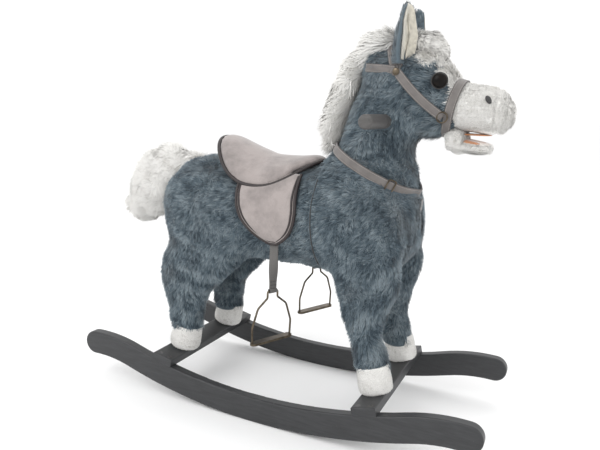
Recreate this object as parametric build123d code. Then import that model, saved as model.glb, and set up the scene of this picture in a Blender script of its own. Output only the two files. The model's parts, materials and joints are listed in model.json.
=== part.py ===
"""Plush rocking horse on painted wooden rockers, with a swinging tail, a moving jaw and hanging stirrups.

Frame: millimetres, +X towards the horse's nose, +Y towards its left side, +Z up.
The origin is on the floor, midway between the rockers and midway along them.
"""

from build123d import *
import math
import os

# ---- Rockers and cross bars -------------------------------------------------
ROCKER_LENGTH = 740.0
ROCKER_SPREAD = 284.0          # over the outer faces of the two rockers
ROCKER_THICKNESS = 18.0
ROCKER_HEIGHT = 43.0           # depth of the curved band
ROCKER_RADIUS = 925.0          # centreline of the curved band
TIP_RADIUS = 260.0             # centreline of the reversed curve at each end
TIP_DROOP = 3.0                # degrees that each tip points below level
ROCKER_EDGE = 2.5              # rounding of the long edges
BAR_WIDTH = 40.0
BAR_THICKNESS = 14.0
BAR_X = 192.0                  # along the rocker, front and rear alike
BAR_SEAT = 1.0                 # depth of the flat seat cut for a bar
BAR_EDGE = 2.0

# ---- Screws and bolts -------------------------------------------------------
SCREW_RADIUS = 2.2
SCREW_HEAD_RADIUS = 4.5
SCREW_HEAD_HEIGHT = 2.6
SCREW_LENGTH = 38.0
SCREW_PITCH = 20.0             # between the two screws at a bar's end
BOLT_RADIUS = 3.0
BOLT_HEAD_RADIUS = 6.5
BOLT_HEAD_HEIGHT = 4.0
BOLT_LENGTH = 60.0
HOLE_CLEARANCE = 0.05          # radial, round screws, bolts and shafts

# ---- Inner wooden frame -----------------------------------------------------
LEG_Y = 75.0                   # centre of each leg, left and right
POST_DEPTH = 28.0
POST_WIDTH = 22.0
SPINE_Z = 314.0                # underside of the spine board
SPINE_THICKNESS = 15.0
SPINE_LENGTH = 320.0
SPINE_WIDTH = 172.0
SPINE_CORNER = 30.0
NECK_BOARD_THICKNESS = 15.0
NECK_BOARD = [(182, 470), (196, 520), (226, 545), (214, 575), (168, 578), (136, 540), (118, 470)]

# ---- Handle -----------------------------------------------------------------
HANDLE_X = 164.0
HANDLE_Z = 507.0
HANDLE_RADIUS = 11.0
HANDLE_SPAN = 280.0
HANDLE_DOME = 6.0
GROOVE_Y = 60.5                # shallow groove just outside the neck, where the plush is drawn in
GROOVE_WIDTH = 2.0
GROOVE_DEPTH = 0.8

# ---- Hooves and legs --------------------------------------------------------
HOOF_HEIGHT = 42.0
HOOF_RADIUS = 30.0
HOOF_TOP_RADIUS = 27.5

# ---- Soft skins -------------------------------------------------------------
STRAP_THICKNESS = 2.5
STRAP_WIDTH = 15.0
FLAP_GAP = 4.6                 # between the barrel and the inside of a saddle flap
FLAP_THICKNESS = 4.0
SOFT_GAP = 0.5                 # between soft pieces of different bodies

# ---- Stirrups ---------------------------------------------------------------
STIRRUP_TURN = 66.0            # degrees from +X to the tread
STRAP_PIVOT_X = 3.0
STRAP_PIVOT_Y = 92.3
STRAP_PIVOT_Z = 294.0
STRAP_DROP = 75.0              # from the strap's pivot to the stirrup's top bar
STIRRUP_STRAP_WIDTH = 16.0
STIRRUP_STRAP_THICKNESS = 2.4
LOOP_CLEARANCE = 0.4           # between the strap's loop and the stirrup's top bar
WIRE_RADIUS = 1.75
TOP_BAR_HALF = 10.5            # half the length of the stirrup's top bar
SHOULDER_HALF = 30.0           # half the stirrup's width at its sloping shoulders
SHOULDER_HEIGHT = 60.0         # from the tread's middle to the shoulders
SIDE_HEIGHT = 28.0             # from the tread's middle to the widest place
NECK_HEIGHT = 75.0             # from the tread's middle to the foot of the narrow neck
TREAD_LENGTH = 86.0
TREAD_WIDTH = 13.0
TREAD_THICKNESS = 4.0
STIRRUP_HEIGHT = 87.0          # from the top bar to the middle of the tread
WIRE_BENDS = [20, 14, 5, 3.5]  # radii of the wire's bends, from the tread up to the top bar
TWIST = [(0.0, 0.0), (0.35, 0.15), (0.65, 0.6), (1.0, 1.0)]    # share of the strap's drop, share of its turn

# ---- Tail and jaw -----------------------------------------------------------
TAIL_PIVOT_X = -190.0
TAIL_PIVOT_Z = 388.0
TAIL_SWEEP_RADIUS = 62.0       # rump surface that the tail's root slides round
TAIL_SHAFT_RADIUS = 4.0
JAW_PIVOT_X = 258.0
JAW_PIVOT_Z = 499.0
JAW_SHAFT_RADIUS = 3.0
LEVER_ROOM = 1.5               # beside the moving levers, inside the stuffing
JAW_SLOT = (34.0, 42.0)        # length and height of the slot that the jaw's lever swings in
JAW_SLOT_LEAD = 9.0            # how far the slot starts behind and above the jaw's pivot
PIN_LENGTH = 26.0
LEVER_THICKNESS = 8.0
LEVER_WIDTH = 7.0
HUB_WALL = 4.0
TAIL_ARM = 86.0
JAW_ARM = 42.0
JAW_ARM_ANGLE = 34.0           # degrees that the jaw's lever points below level

# ---- Sound unit, motors and ear switch --------------------------------------
SOUND_BOX = (80.0, 56.0, 34.0)
SOUND_BOX_X = -40.0
SOUND_BOX_GAP = 2.0            # below the spine board
SOUND_BOX_CORNER = 4.0
MOTOR = (24.0, 20.0, 20.0)
JAW_MOTOR_X = 226.0
JAW_MOTOR_Z = 508.0
TAIL_MOTOR_X = -160.0
BUTTON_RADIUS = 6.0
BUTTON_TRAVEL = 1.5
BUTTON_THICKNESS = 2.0
SWITCH_RADIUS = 8.0
SWITCH_DEPTH = 6.0

# ---- Places on the head -----------------------------------------------------
MUZZLE_X = 266.0               # seam between head and muzzle
ROSETTE = (176.0, 584.5)
ROSETTE_RADIUS = 8.0
RING = (254.0, 516.0)
RING_RADIUS = 8.0
RING_WIRE = 1.6
BRIDLE_WIDTH = 11.0
EYE = (243.5, 45.5, 569.0)
EYE_RADIUS = 12.0
EAR_BASE = (180.0, 41.0, 598.0)
EAR_TIP = (181.0, 36.0, 688.0)
EAR_HALF_WIDTH = 19.0
EAR_HALF_THICKNESS = 8.0
EAR_ROWS = [(0.0, 0.75), (0.35, 1.0), (0.7, 0.72), (1.0, 0.14)]    # share of the height, share of the width
LINING_THICKNESS = 2.0
NOSE_LINE = (275, 575, 252, 488)           # x and z of the noseband's top and bottom
CROWN_END = (150, 640)                     # where the crown strap's line goes from the rosette
BROW_END = (200, 634)
BREAST_LINE = (60, 474, 222, 390)          # x and z of the breast strap at the withers and at the chest

# ---- Worked out from the sizes above ----------------------------------------
ARC_CENTRE_Z = ROCKER_RADIUS + ROCKER_HEIGHT / 2
TOP_RADIUS = ROCKER_RADIUS - ROCKER_HEIGHT / 2
_reach = ROCKER_LENGTH / 2 - ROCKER_HEIGHT / 2 - TIP_RADIUS * math.sin(math.radians(TIP_DROOP))
TURN_ANGLE = math.degrees(math.asin(_reach / (ROCKER_RADIUS + TIP_RADIUS)))
BAR_ANGLE = math.degrees(math.asin(BAR_X / TOP_RADIUS))
BAR_CHORD = math.sqrt(TOP_RADIUS**2 - (BAR_WIDTH / 2) ** 2)
BAR_BOTTOM = BAR_CHORD + BAR_SEAT          # distance of a bar's underside from the arc's centre
BAR_TOP = BAR_BOTTOM - BAR_THICKNESS
ROCKER_Y = (ROCKER_SPREAD - ROCKER_THICKNESS) / 2

nodes = {}


def add(name, shape):
    """Keeps a finished piece under its node name."""
    nodes[name] = shape


def polar(radius, angle, centre=(0.0, ARC_CENTRE_Z)):
    """A point at a radius from a centre, at an angle from straight down, turning towards +X."""
    a = math.radians(angle)
    return (centre[0] + radius * math.sin(a), centre[1] - radius * math.cos(a))


def on_bar(end, along=0.0, height=0.0, y=0.0):
    """Frame on a cross bar's top face: end is +1 for the front bar, -1 for the rear one."""
    x, z = polar(BAR_TOP - height, end * BAR_ANGLE)
    c = math.cos(math.radians(BAR_ANGLE))
    s = end * math.sin(math.radians(BAR_ANGLE))
    return Plane(origin=(x, y, z), x_dir=(c, 0, s), z_dir=(-s, 0, c)) * Pos(along, 0, 0)


def section(x, z, half_width, half_height):
    """Elliptical section of a soft body in the plane across the horse at x."""
    return Plane(origin=(x, 0, z), x_dir=(0, 1, 0), z_dir=(1, 0, 0)) * Ellipse(half_width, half_height)


def lofted(rows, grow=0.0):
    """Closed body through elliptical sections (x, z, half width, half height), grown outwards."""
    shift = [math.copysign(grow, rows[-1][0] - rows[0][0]) * k for k in [-1] + [0] * (len(rows) - 2) + [1]]
    return loft([section(x + s, z, a + grow, b + grow) for (x, z, a, b), s in zip(rows, shift)])


def slab(x0, z0, x1, z1, width, length=None):
    """Plate through the line from (x0, z0) to (x1, z1), right across the horse and width thick."""
    run = math.hypot(x1 - x0, z1 - z0)
    angle = math.degrees(math.atan2(z1 - z0, x1 - x0))
    box = Box(length or run, 400, width)
    return Pos((x0 + x1) / 2, 0, (z0 + z1) / 2) * Rot(0, -angle, 0) * box


def mirrored(shape):
    """The same piece on the other side of the horse."""
    return mirror(shape, about=Plane.XZ)


def both(shape):
    """A piece and its mirror image, as two solids."""
    return Compound(children=[biggest(shape), biggest(mirrored(shape))])


def biggest(shape):
    """The main body of a trimmed piece, without its offcuts."""
    return shape.solids().sort_by(SortBy.VOLUME)[-1]


# ---- Rockers, bars and their screws -----------------------------------------
def rocker_outline():
    """Curved band with reversed, rounded tips, as a face in the XZ plane."""
    half = ROCKER_HEIGHT / 2
    edges = []
    for side in (1, -1):
        low = [polar(ROCKER_RADIUS + half, side * TURN_ANGLE * k / 2) for k in (0, 1, 2)]
        high = [polar(ROCKER_RADIUS - half, side * TURN_ANGLE * k / 2) for k in (0, 1, 2)]
        turn = polar(ROCKER_RADIUS + TIP_RADIUS, side * TURN_ANGLE)
        swing = TURN_ANGLE + TIP_DROOP
        steps = [180 + side * (TURN_ANGLE - swing * k / 2) for k in (1, 2)]
        low_tip = [polar(TIP_RADIUS - half, a, turn) for a in steps]
        high_tip = [polar(TIP_RADIUS + half, a, turn) for a in steps]
        tip = polar(TIP_RADIUS, steps[-1], turn)
        droop = math.radians(TIP_DROOP)
        nose = (tip[0] + side * half * math.cos(droop), tip[1] - half * math.sin(droop))
        edges += [
            ThreePointArc(low[0], low[1], low[2]),
            ThreePointArc(low[2], low_tip[0], low_tip[1]),
            ThreePointArc(low_tip[1], nose, high_tip[1]),
            ThreePointArc(high_tip[1], high_tip[0], high[2]),
            ThreePointArc(high[2], high[1], high[0]),
        ]
    return Plane.XZ * make_face(edges)


def bar_box(end):
    """Cross bar as a plain block, seated in its flat on the rockers."""
    return on_bar(end, height=-BAR_THICKNESS / 2) * Box(BAR_WIDTH, ROCKER_SPREAD, BAR_THICKNESS)


def screw_places():
    """Frames on the bars' top faces, one for each wood screw."""
    return [
        on_bar(end, along=k * SCREW_PITCH / 2, y=side * ROCKER_Y)
        for end in (1, -1) for side in (1, -1) for k in (1, -1)
    ]


def screw(clearance=0.0):
    """Countersunk wood screw, head flush with the face it is driven from."""
    head = Cone(SCREW_RADIUS + clearance, SCREW_HEAD_RADIUS + clearance, SCREW_HEAD_HEIGHT)
    shank = Cylinder(SCREW_RADIUS + clearance, SCREW_LENGTH)
    return Pos(0, 0, -SCREW_HEAD_HEIGHT / 2) * head + Pos(0, 0, -SCREW_LENGTH / 2) * shank


def bolt(clearance=0.0):
    """Hexagon bolt pushed up from under a bar, with its head against the underside."""
    head = extrude(RegularPolygon(BOLT_HEAD_RADIUS, 6), -BOLT_HEAD_HEIGHT)
    shank = Pos(0, 0, BOLT_LENGTH / 2) * Cylinder(BOLT_RADIUS + clearance, BOLT_LENGTH)
    return Pos(0, 0, -BAR_THICKNESS) * (head + shank)


def leg_places():
    """(end, side, frame on the bar's top face) of the four legs."""
    return [(end, side, on_bar(end, y=side * LEG_Y)) for end in (1, -1) for side in (-1, 1)]


def make_base():
    """Two rockers, two cross bars, eight screws and four leg bolts."""
    screws = [place * screw() for place in screw_places()]
    holes = [place * screw(HOLE_CLEARANCE) for place in screw_places()]
    bolts = [place * bolt() for _, _, place in leg_places()]
    bolt_holes = [place * bolt(HOLE_CLEARANCE) for _, _, place in leg_places()]
    blank = extrude(rocker_outline(), ROCKER_THICKNESS / 2, both=True)
    blank = fillet(blank.edges().filter_by(Plane.XZ), ROCKER_EDGE)
    for name, side in (("right_rocker", -1), ("left_rocker", 1)):
        rocker = Pos(0, side * ROCKER_Y, 0) * blank
        for end in (1, -1):
            rocker -= bar_box(end)
        near = [h for h in holes if h.center().Y * side > 0]
        add(name, rocker - near)
    for name, end in (("front_crossbar", 1), ("rear_crossbar", -1)):
        bar = bar_box(end)
        top = bar.faces().sort_by(Axis.Z)[-1]
        bar = fillet(top.edges(), BAR_EDGE)
        near = [h for h in holes + bolt_holes if h.center().X * end > 0]
        add(name, bar - near)
    add("crossbar_screws", Compound(children=[s.solid() for s in screws]))
    add("leg_bolts", Compound(children=[b.solid() for b in bolts]))


# ---- Inner frame ------------------------------------------------------------
def neck_board_face():
    """Outline of the plywood neck board, from the spine board up into the head."""
    top = SPINE_Z + SPINE_THICKNESS
    points = [(95, top), (168, top)] + NECK_BOARD
    return Plane.XZ * make_face(Polyline(*points, close=True))


def make_inner_frame():
    """Leg posts, spine board and neck board."""
    names = {(1, -1): "front_right", (1, 1): "front_left", (-1, -1): "rear_right", (-1, 1): "rear_left"}
    for end, side, place in leg_places():
        add(names[(end, side)] + "_leg_post", post_blank(place) - place * bolt(HOLE_CLEARANCE))
    board = Pos(0, 0, SPINE_Z + SPINE_THICKNESS / 2) * Box(SPINE_LENGTH, SPINE_WIDTH, SPINE_THICKNESS)
    add("spine_board", fillet(board.edges().filter_by(Axis.Z), SPINE_CORNER))
    neck = extrude(neck_board_face(), NECK_BOARD_THICKNESS / 2, both=True)
    bore = Pos(HANDLE_X, 0, HANDLE_Z) * Rot(90, 0, 0) * Cylinder(HANDLE_RADIUS + HOLE_CLEARANCE, 200)
    add("neck_board", neck - bore)
    bar = Cylinder(HANDLE_RADIUS, HANDLE_SPAN)
    bar = fillet(bar.edges(), HANDLE_DOME)
    ring = Cylinder(2 * HANDLE_RADIUS, GROOVE_WIDTH) - Cylinder(HANDLE_RADIUS - GROOVE_DEPTH, GROOVE_WIDTH)
    bar = bar - Pos(0, 0, GROOVE_Y) * ring - Pos(0, 0, -GROOVE_Y) * ring
    add("handlebar", Pos(HANDLE_X, 0, HANDLE_Z) * Rot(90, 0, 0) * bar)


# ---- Stuffed body -----------------------------------------------------------
BARREL = [
    (-256, 345, 44, 42), (-240, 345, 66, 62), (-200, 341, 88, 88), (-140, 336, 96, 92), (-50, 334, 98, 87),
    (40, 338, 98, 92), (105, 344, 97, 98), (160, 344, 88, 92), (196, 342, 70, 74), (213, 340, 46, 50),
]
NECK = [
    (385, 126, 84, 84), (440, 134, 75, 68), (480, 143, 64, 58), (520, 150, 62, 53), (560, 163, 58, 50),
    (600, 172, 45, 42),
]
FACE = [
    (112, 592, 20, 20), (130, 584, 38, 42), (156, 570, 48, 58), (190, 558, 55, 71), (225, 553, 57, 73),
    (250, 545, 51, 59), (266, 534, 46, 42), (290, 531, 46, 38), (315, 525, 44, 36), (333, 523, 34, 29),
    (342, 523, 20, 14),
]
PALATE = (262, 493, 330, 491)      # x and z of the mouth lining's back and front
PALATE_THICKNESS = 5.0
JAW = [(268, 480, 34, 9), (290, 479, 34, 9), (308, 474.5, 28, 7), (316, 474, 17, 4)]
TAIL = [
    (-230, 388, 30, 45), (-256, 386, 34, 50), (-292, 378, 38, 60), (-330, 358, 40, 66), (-355, 345, 33, 56),
    (-367, 338, 18, 34),
]
SEAT = [
    (-150, 340, 100, 131), (-125, 340, 100, 125), (-95, 340, 100, 112), (-42, 340, 100, 93),
    (0, 340, 100, 94), (32, 340, 100, 99), (54, 340, 100, 94),
]
SEAT_UNDERSIDE = 402.0
FLAP = [
    (-60, SEAT_UNDERSIDE), (-63, 371), (-59, 348), (-37, 317), (4, 300), (25, 319), (44, 348), (48, 380),
    (48, SEAT_UNDERSIDE),
]
FRONT_LEG = [
    (HOOF_HEIGHT, -6, 0, 32, 29), (95, -10, 0, 32, 29), (140, -4, 0, 44, 31), (175, 4, 5, 57, 31),
    (225, 4, 24, 50, 24),
]
REAR_LEG = [
    (HOOF_HEIGHT, -1, 0, 33, 30), (75, -8, 0, 36, 31), (115, -18, 0, 50, 33), (170, -8, 5, 74, 33),
    (225, 4, 24, 60, 24),
]
MANE = [
    (172, 652), (140, 654), (112, 636), (88, 602), (68, 556), (56, 505), (46, 462), (56, 450), (120, 470),
    (160, 600),
]
MANE_HALF_WIDTH = 27.0
MANE_EDGE = 8.0
FORELOCK = [(188, 636, 14, 9), (206, 634, 22, 13), (224, 626, 20, 11), (236, 619, 9, 5)]
SEAT_MIDDLE = -48.0
SEAT_HALF_LENGTH = 98.0
SEAT_HALF_WIDTH = 92.0


def neck_body(grow=0.0):
    """Stuffed neck through level elliptical sections (z, x, half length, half width)."""
    shift = [grow * k for k in [-1] + [0] * (len(NECK) - 2) + [1]]
    rows = zip(NECK, shift)
    return loft([Plane(origin=(x, 0, z + s)) * Ellipse(a + grow, b + grow) for (z, x, a, b), s in rows])


def leg_body(end, side, place):
    """Stuffed leg from its hoof up into the body: rows of height, offsets, half length and half width."""
    rows = FRONT_LEG if end > 0 else REAR_LEG
    return loft([place * Pos(x, -side * inward, h) * Ellipse(a, b) for h, x, inward, a, b in rows])


def post_blank(place):
    """Leg post before it is bored for its bolt, from the bar's top face to the spine board."""
    reach = 2 * SPINE_Z
    ceiling = Pos(0, 0, SPINE_Z + 500) * Box(2000, 2000, 1000)
    return place * Pos(0, 0, reach / 2) * Box(POST_DEPTH, POST_WIDTH, reach) - ceiling


def tail_sweep(radius, height):
    """Upright cylinder round the tail's pivot."""
    return Pos(TAIL_PIVOT_X, 0, TAIL_PIVOT_Z) * Cylinder(radius, height)


def rump_recess():
    """What is taken off the rump so that the tail's root can slide round it."""
    block = Pos(TAIL_PIVOT_X - 100, 0, TAIL_PIVOT_Z) * Box(200, 150, 124)
    return block - tail_sweep(TAIL_SWEEP_RADIUS, 140)


def lever(length, bore):
    """Flat lever along +X with a bored hub, in the plane of its two faces, pivot at the origin."""
    hub = Cylinder(bore + HUB_WALL, LEVER_THICKNESS)
    arm = Pos(length / 2, 0, 0) * Box(length, LEVER_WIDTH, LEVER_THICKNESS)
    return hub + arm - Cylinder(bore + HOLE_CLEARANCE, LEVER_THICKNESS)


def make_mechanism():
    """Sound unit, motors, tail pin and lever, jaw pin and lever: returns the room they need."""
    box = Pos(SOUND_BOX_X, 0, SPINE_Z - SOUND_BOX_GAP - SOUND_BOX[2] / 2) * Box(*SOUND_BOX)
    add("sound_unit", fillet(box.edges().filter_by(Axis.Z), SOUND_BOX_CORNER))
    motor_places = [(JAW_MOTOR_X, 0, JAW_MOTOR_Z), (TAIL_MOTOR_X, 0, TAIL_PIVOT_Z)]
    motors = [Pos(*place) * Box(*MOTOR) for place in motor_places]
    add("drive_motors", Compound(children=[m.solid() for m in motors]))
    tail_place = Pos(TAIL_PIVOT_X, 0, TAIL_PIVOT_Z)
    add("tail_pin", tail_place * Cylinder(TAIL_SHAFT_RADIUS, PIN_LENGTH))
    add("tail_lever", tail_place * Rot(0, 0, 180) * lever(TAIL_ARM, TAIL_SHAFT_RADIUS))
    jaw_place = Pos(JAW_PIVOT_X, 0, JAW_PIVOT_Z) * Rot(90, 0, 0)
    add("jaw_pin", jaw_place * Cylinder(JAW_SHAFT_RADIUS, PIN_LENGTH))
    add("jaw_lever", jaw_place * Rot(0, 0, -JAW_ARM_ANGLE) * lever(JAW_ARM, JAW_SHAFT_RADIUS))
    room = LEVER_THICKNESS + 2 * LEVER_ROOM
    behind = Pos(TAIL_PIVOT_X - 90, 0, TAIL_PIVOT_Z) * Box(200, 200, 40)
    half_disc = tail_sweep(TAIL_SWEEP_RADIUS + 1, room) & behind
    slot_x = JAW_PIVOT_X - JAW_SLOT_LEAD + JAW_SLOT[0] / 2
    slot_z = JAW_PIVOT_Z + JAW_SLOT_LEAD - JAW_SLOT[1] / 2
    slot = Pos(slot_x, 0, slot_z) * Box(JAW_SLOT[0], room, JAW_SLOT[1])
    return [half_disc, slot, box, nodes["tail_pin"], nodes["jaw_pin"]] + motors


def make_body(rooms):
    """Torso, neck, head, muzzle, jaw, tail, legs and hooves, each hollowed for what is inside it."""
    blanks = [post_blank(place) for _, _, place in leg_places()]
    frame = blanks + [nodes["spine_board"], nodes["neck_board"], nodes["handlebar"]]
    barrel = lofted(BARREL)
    face = lofted(FACE)
    front = Pos(MUZZLE_X + 500, 0, 500) * Box(1000, 1000, 1000)
    add("torso", biggest(barrel - rump_recess() - frame - rooms))
    add("neck", biggest(neck_body() - barrel - face - frame))
    add("head", biggest(face - front - frame - rooms))
    palate = slab(*PALATE, PALATE_THICKNESS) & face & front
    add("mouth_lining", biggest(palate - rooms))
    add("muzzle", biggest((face & front) - palate - rooms))
    add("jaw", biggest(lofted(JAW) - nodes["jaw_lever"]))
    add("tail", biggest(lofted(TAIL) - tail_sweep(TAIL_SWEEP_RADIUS + SOFT_GAP, 300) - nodes["tail_lever"]))
    for end, side, place in leg_places():
        where = ("front" if end > 0 else "rear") + ("_right" if side < 0 else "_left")
        inside = [post_blank(place), place * bolt()]
        hoof = place * Pos(0, 0, HOOF_HEIGHT / 2) * Cone(HOOF_RADIUS, HOOF_TOP_RADIUS, HOOF_HEIGHT)
        add(where + "_hoof", biggest(hoof - inside))
        add(where + "_leg", biggest(leg_body(end, side, place) - barrel - inside - nodes["spine_board"]))
    return barrel, face


# ---- Ears, eyes, mane -------------------------------------------------------
def ear_body(grow=0.0):
    """Leaf-shaped ear through four level ellipses from its base to its tip."""
    rings = []
    for k, size in EAR_ROWS:
        place = Pos(*[b + k * (t - b) for b, t in zip(EAR_BASE, EAR_TIP)])
        rings.append(place * Ellipse(EAR_HALF_WIDTH * size + grow, EAR_HALF_THICKNESS * size + grow))
    return loft(rings)


def make_ears(face):
    """Both ears and their linings, with a sound switch in the right one."""
    ear = ear_body() - face - nodes["crown_strap"] - nodes["browband"]
    window = Pos(EAR_TIP[0] + 3, 40, EAR_BASE[2] + 52) * Box(2 * EAR_HALF_WIDTH - 8, 60, 60)
    outer = Pos(EAR_TIP[0], 90, 640) * Box(200, 96, 200)
    lining = (ear_body(LINING_THICKNESS) & window & outer) - ear_body() - face
    place = Pos(EAR_BASE[0], -(EAR_BASE[1] - 1), EAR_BASE[2] + 30) * Rot(90, 0, 0)
    housing = place * Cylinder(SWITCH_RADIUS, SWITCH_DEPTH)
    well_depth = BUTTON_THICKNESS + BUTTON_TRAVEL
    well = Pos(0, 0, (SWITCH_DEPTH - well_depth) / 2) * Cylinder(BUTTON_RADIUS + HOLE_CLEARANCE, well_depth)
    button = Pos(0, 0, (SWITCH_DEPTH - BUTTON_THICKNESS) / 2) * Cylinder(BUTTON_RADIUS, BUTTON_THICKNESS)
    add("ear_switch", housing - place * well)
    add("ear_button", place * button)
    add("right_ear", biggest(mirrored(ear) - housing))
    add("left_ear", biggest(ear))
    add("ear_linings", both(lining))


def make_face_trim(face):
    """Eyes, set into the head."""
    add("eyes", both(Pos(*EYE) * Sphere(EYE_RADIUS) - face))


def make_hair(barrel, face):
    """Mane along the crest, and the forelock between the ears."""
    outline = Polyline(*MANE, close=True)
    mane = extrude(Plane.XZ * make_face(outline), MANE_HALF_WIDTH, both=True)
    mane = fillet(mane.edges().filter_by(Plane.XZ), MANE_EDGE)
    ears = [nodes["right_ear"], nodes["left_ear"]]
    inner = [neck_body(), barrel, face, nodes["neck_board"], nodes["handlebar"]]
    add("mane", biggest(mane - inner - ears - nodes["breast_strap"] - nodes["crown_strap"]))
    tuft = loft([
        Plane(origin=(x, 0, z), x_dir=(0, 1, 0), z_dir=(1, 0, -0.35)) * Ellipse(a, b)
        for x, z, a, b in FORELOCK
    ])
    add("forelock", biggest(tuft - face - nodes["browband"] - ears))


# ---- Bridle and breast strap ------------------------------------------------
def above(height):
    """Big block that keeps what lies above a height."""
    return Pos(0, 0, height + 1000) * Box(4000, 4000, 2000)


def make_bridle(face):
    """Cheek straps, crown strap, browband and noseband, with their rings and rosettes."""
    shell = lofted(FACE, STRAP_THICKNESS) - face - neck_body()
    side = Pos(0, 500 + 24, 500) * Box(2000, 1000, 2000)
    nose = slab(*NOSE_LINE, BRIDLE_WIDTH, length=130) & shell
    cheek = (slab(*ROSETTE, *RING, BRIDLE_WIDTH) & shell & side) - nose
    over = shell & above(ROSETTE[1] + BRIDLE_WIDTH / 2)
    crown = (slab(*ROSETTE, *CROWN_END, BRIDLE_WIDTH, length=200) & over) - cheek - mirrored(cheek)
    brow = (slab(*ROSETTE, *BROW_END, BRIDLE_WIDTH, length=200) & over) - cheek - mirrored(cheek) - crown
    add("noseband", biggest(nose))
    add("cheek_straps", both(cheek))
    add("crown_strap", biggest(crown))
    add("browband", biggest(brow))
    skin = lofted(FACE, STRAP_THICKNESS)
    disc = Pos(ROSETTE[0], 56, ROSETTE[1]) * Rot(90, 0, 0) * Cylinder(ROSETTE_RADIUS, 16) - skin
    ring = Pos(RING[0], 49, RING[1]) * Rot(96, 0, 12) * Torus(RING_RADIUS, RING_WIRE) - skin
    add("bridle_rosettes", both(disc))
    add("bridle_rings", both(ring))


def make_breast_strap(face):
    """Strap round the chest from the withers, a hanging tab at its middle, and two slides."""
    def skin(space, inner, outer):
        """What a space holds between two layers over the neck and torso."""
        grown = (space & neck_body(outer)) + (space & lofted(BARREL, outer))
        return grown - neck_body(inner) - lofted(BARREL, inner)

    strap = skin(slab(*BREAST_LINE, STRAP_WIDTH, length=260), 0, STRAP_THICKNESS) - face
    add("breast_strap", biggest(strap))
    tab_space = Pos(220, 0, 362) * Box(60, STRAP_WIDTH, 60)
    add("chest_tab", biggest(skin(tab_space, 0, STRAP_THICKNESS) - nodes["breast_strap"]))
    slide_space = slab(180, 412, 196, 403.5, STRAP_WIDTH + 5) & Pos(180, 550, 400) * Box(400, 1000, 400)
    add("breast_slides", both(skin(slide_space, STRAP_THICKNESS, 2 * STRAP_THICKNESS)))


# ---- Saddle -----------------------------------------------------------------
def make_saddle(barrel):
    """Padded seat on the back, and a flap hanging down each side."""
    plan = Pos(SEAT_MIDDLE, 0, 300) * extrude(Ellipse(SEAT_HALF_LENGTH, SEAT_HALF_WIDTH), 300)
    seat = (lofted(SEAT) & plan & above(SEAT_UNDERSIDE)) - barrel - neck_body(SOFT_GAP)
    add("saddle_seat", biggest(seat - nodes["breast_strap"]))
    prism = Pos(0, 100, 0) * extrude(Plane.XZ * make_face(Polyline(*FLAP, close=True)), 60, both=True)
    shell = lofted(BARREL, FLAP_GAP + FLAP_THICKNESS) - lofted(BARREL, FLAP_GAP)
    flap = biggest(prism & shell)
    add("left_saddle_flap", flap)
    add("right_saddle_flap", mirrored(flap))


# ---- Stirrups ---------------------------------------------------------------
def stirrup_frame(side):
    """Frame at the stirrup's top bar, its X axis along the bar."""
    origin = (STRAP_PIVOT_X, side * STRAP_PIVOT_Y, STRAP_PIVOT_Z - STRAP_DROP)
    a = math.radians(STIRRUP_TURN)
    return Plane(origin=origin, x_dir=(math.cos(a), math.sin(a), 0), z_dir=(0, 0, 1))


def make_stirrups():
    """Webbing straps with a loop at the end, wire irons and flat treads."""
    loop_bore = WIRE_RADIUS + LOOP_CLEARANCE
    loop_outer = loop_bore + STIRRUP_STRAP_THICKNESS
    for name, side in (("right", -1), ("left", 1)):
        top = STRAP_PIVOT_Z
        low = top - STRAP_DROP + loop_bore
        rings = [
            Pos(STRAP_PIVOT_X, side * STRAP_PIVOT_Y, top + k * (low - top)) * Rot(0, 0, turn * STIRRUP_TURN)
            * Rectangle(STIRRUP_STRAP_WIDTH, STIRRUP_STRAP_THICKNESS)
            for k, turn in TWIST
        ]
        bar = stirrup_frame(side)
        loop = bar * Rot(0, 90, 0) * Cylinder(loop_outer, STIRRUP_STRAP_WIDTH)
        bore = bar * Rot(0, 90, 0) * Cylinder(loop_bore, 2 * STIRRUP_STRAP_WIDTH)
        add(name + "_stirrup_strap", biggest(loft(rings) + loop - bore))
        tread_z = -STIRRUP_HEIGHT
        wide = TREAD_LENGTH / 2 - WIRE_RADIUS - 1
        points = [
            (wide, TREAD_THICKNESS / 2), (wide + 1, SIDE_HEIGHT), (SHOULDER_HALF, SHOULDER_HEIGHT),
            (TOP_BAR_HALF, NECK_HEIGHT), (TOP_BAR_HALF, STIRRUP_HEIGHT),
        ]
        line = points + [(-x, z) for x, z in reversed(points)]
        path = FilletPolyline(*[(x, 0, z + tread_z) for x, z in line], radius=WIRE_BENDS + WIRE_BENDS[::-1])
        start = Plane(origin=path @ 0, z_dir=path % 0)
        wire = sweep(start * Circle(WIRE_RADIUS), path)
        add(name + "_stirrup_iron", biggest(bar * wire))
        tread = Pos(0, 0, tread_z) * Box(TREAD_LENGTH, TREAD_WIDTH, TREAD_THICKNESS)
        tread = fillet(tread.edges().filter_by(Axis.Z), TREAD_WIDTH / 2 - 0.5)
        add(name + "_stirrup_tread", bar * (tread - wire))


def build():
    """Makes every piece and writes each to its own file."""
    make_base()
    make_inner_frame()
    rooms = make_mechanism()
    barrel, face = make_body(rooms)
    make_face_trim(face)
    make_bridle(face)
    make_ears(face)
    make_breast_strap(face)
    make_hair(barrel, face)
    make_saddle(barrel)
    make_stirrups()
    os.makedirs("parts", exist_ok=True)
    for name, shape in nodes.items():
        export_step(shape, os.path.join("parts", name + ".step"))


build()
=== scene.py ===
import json
import math

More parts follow.
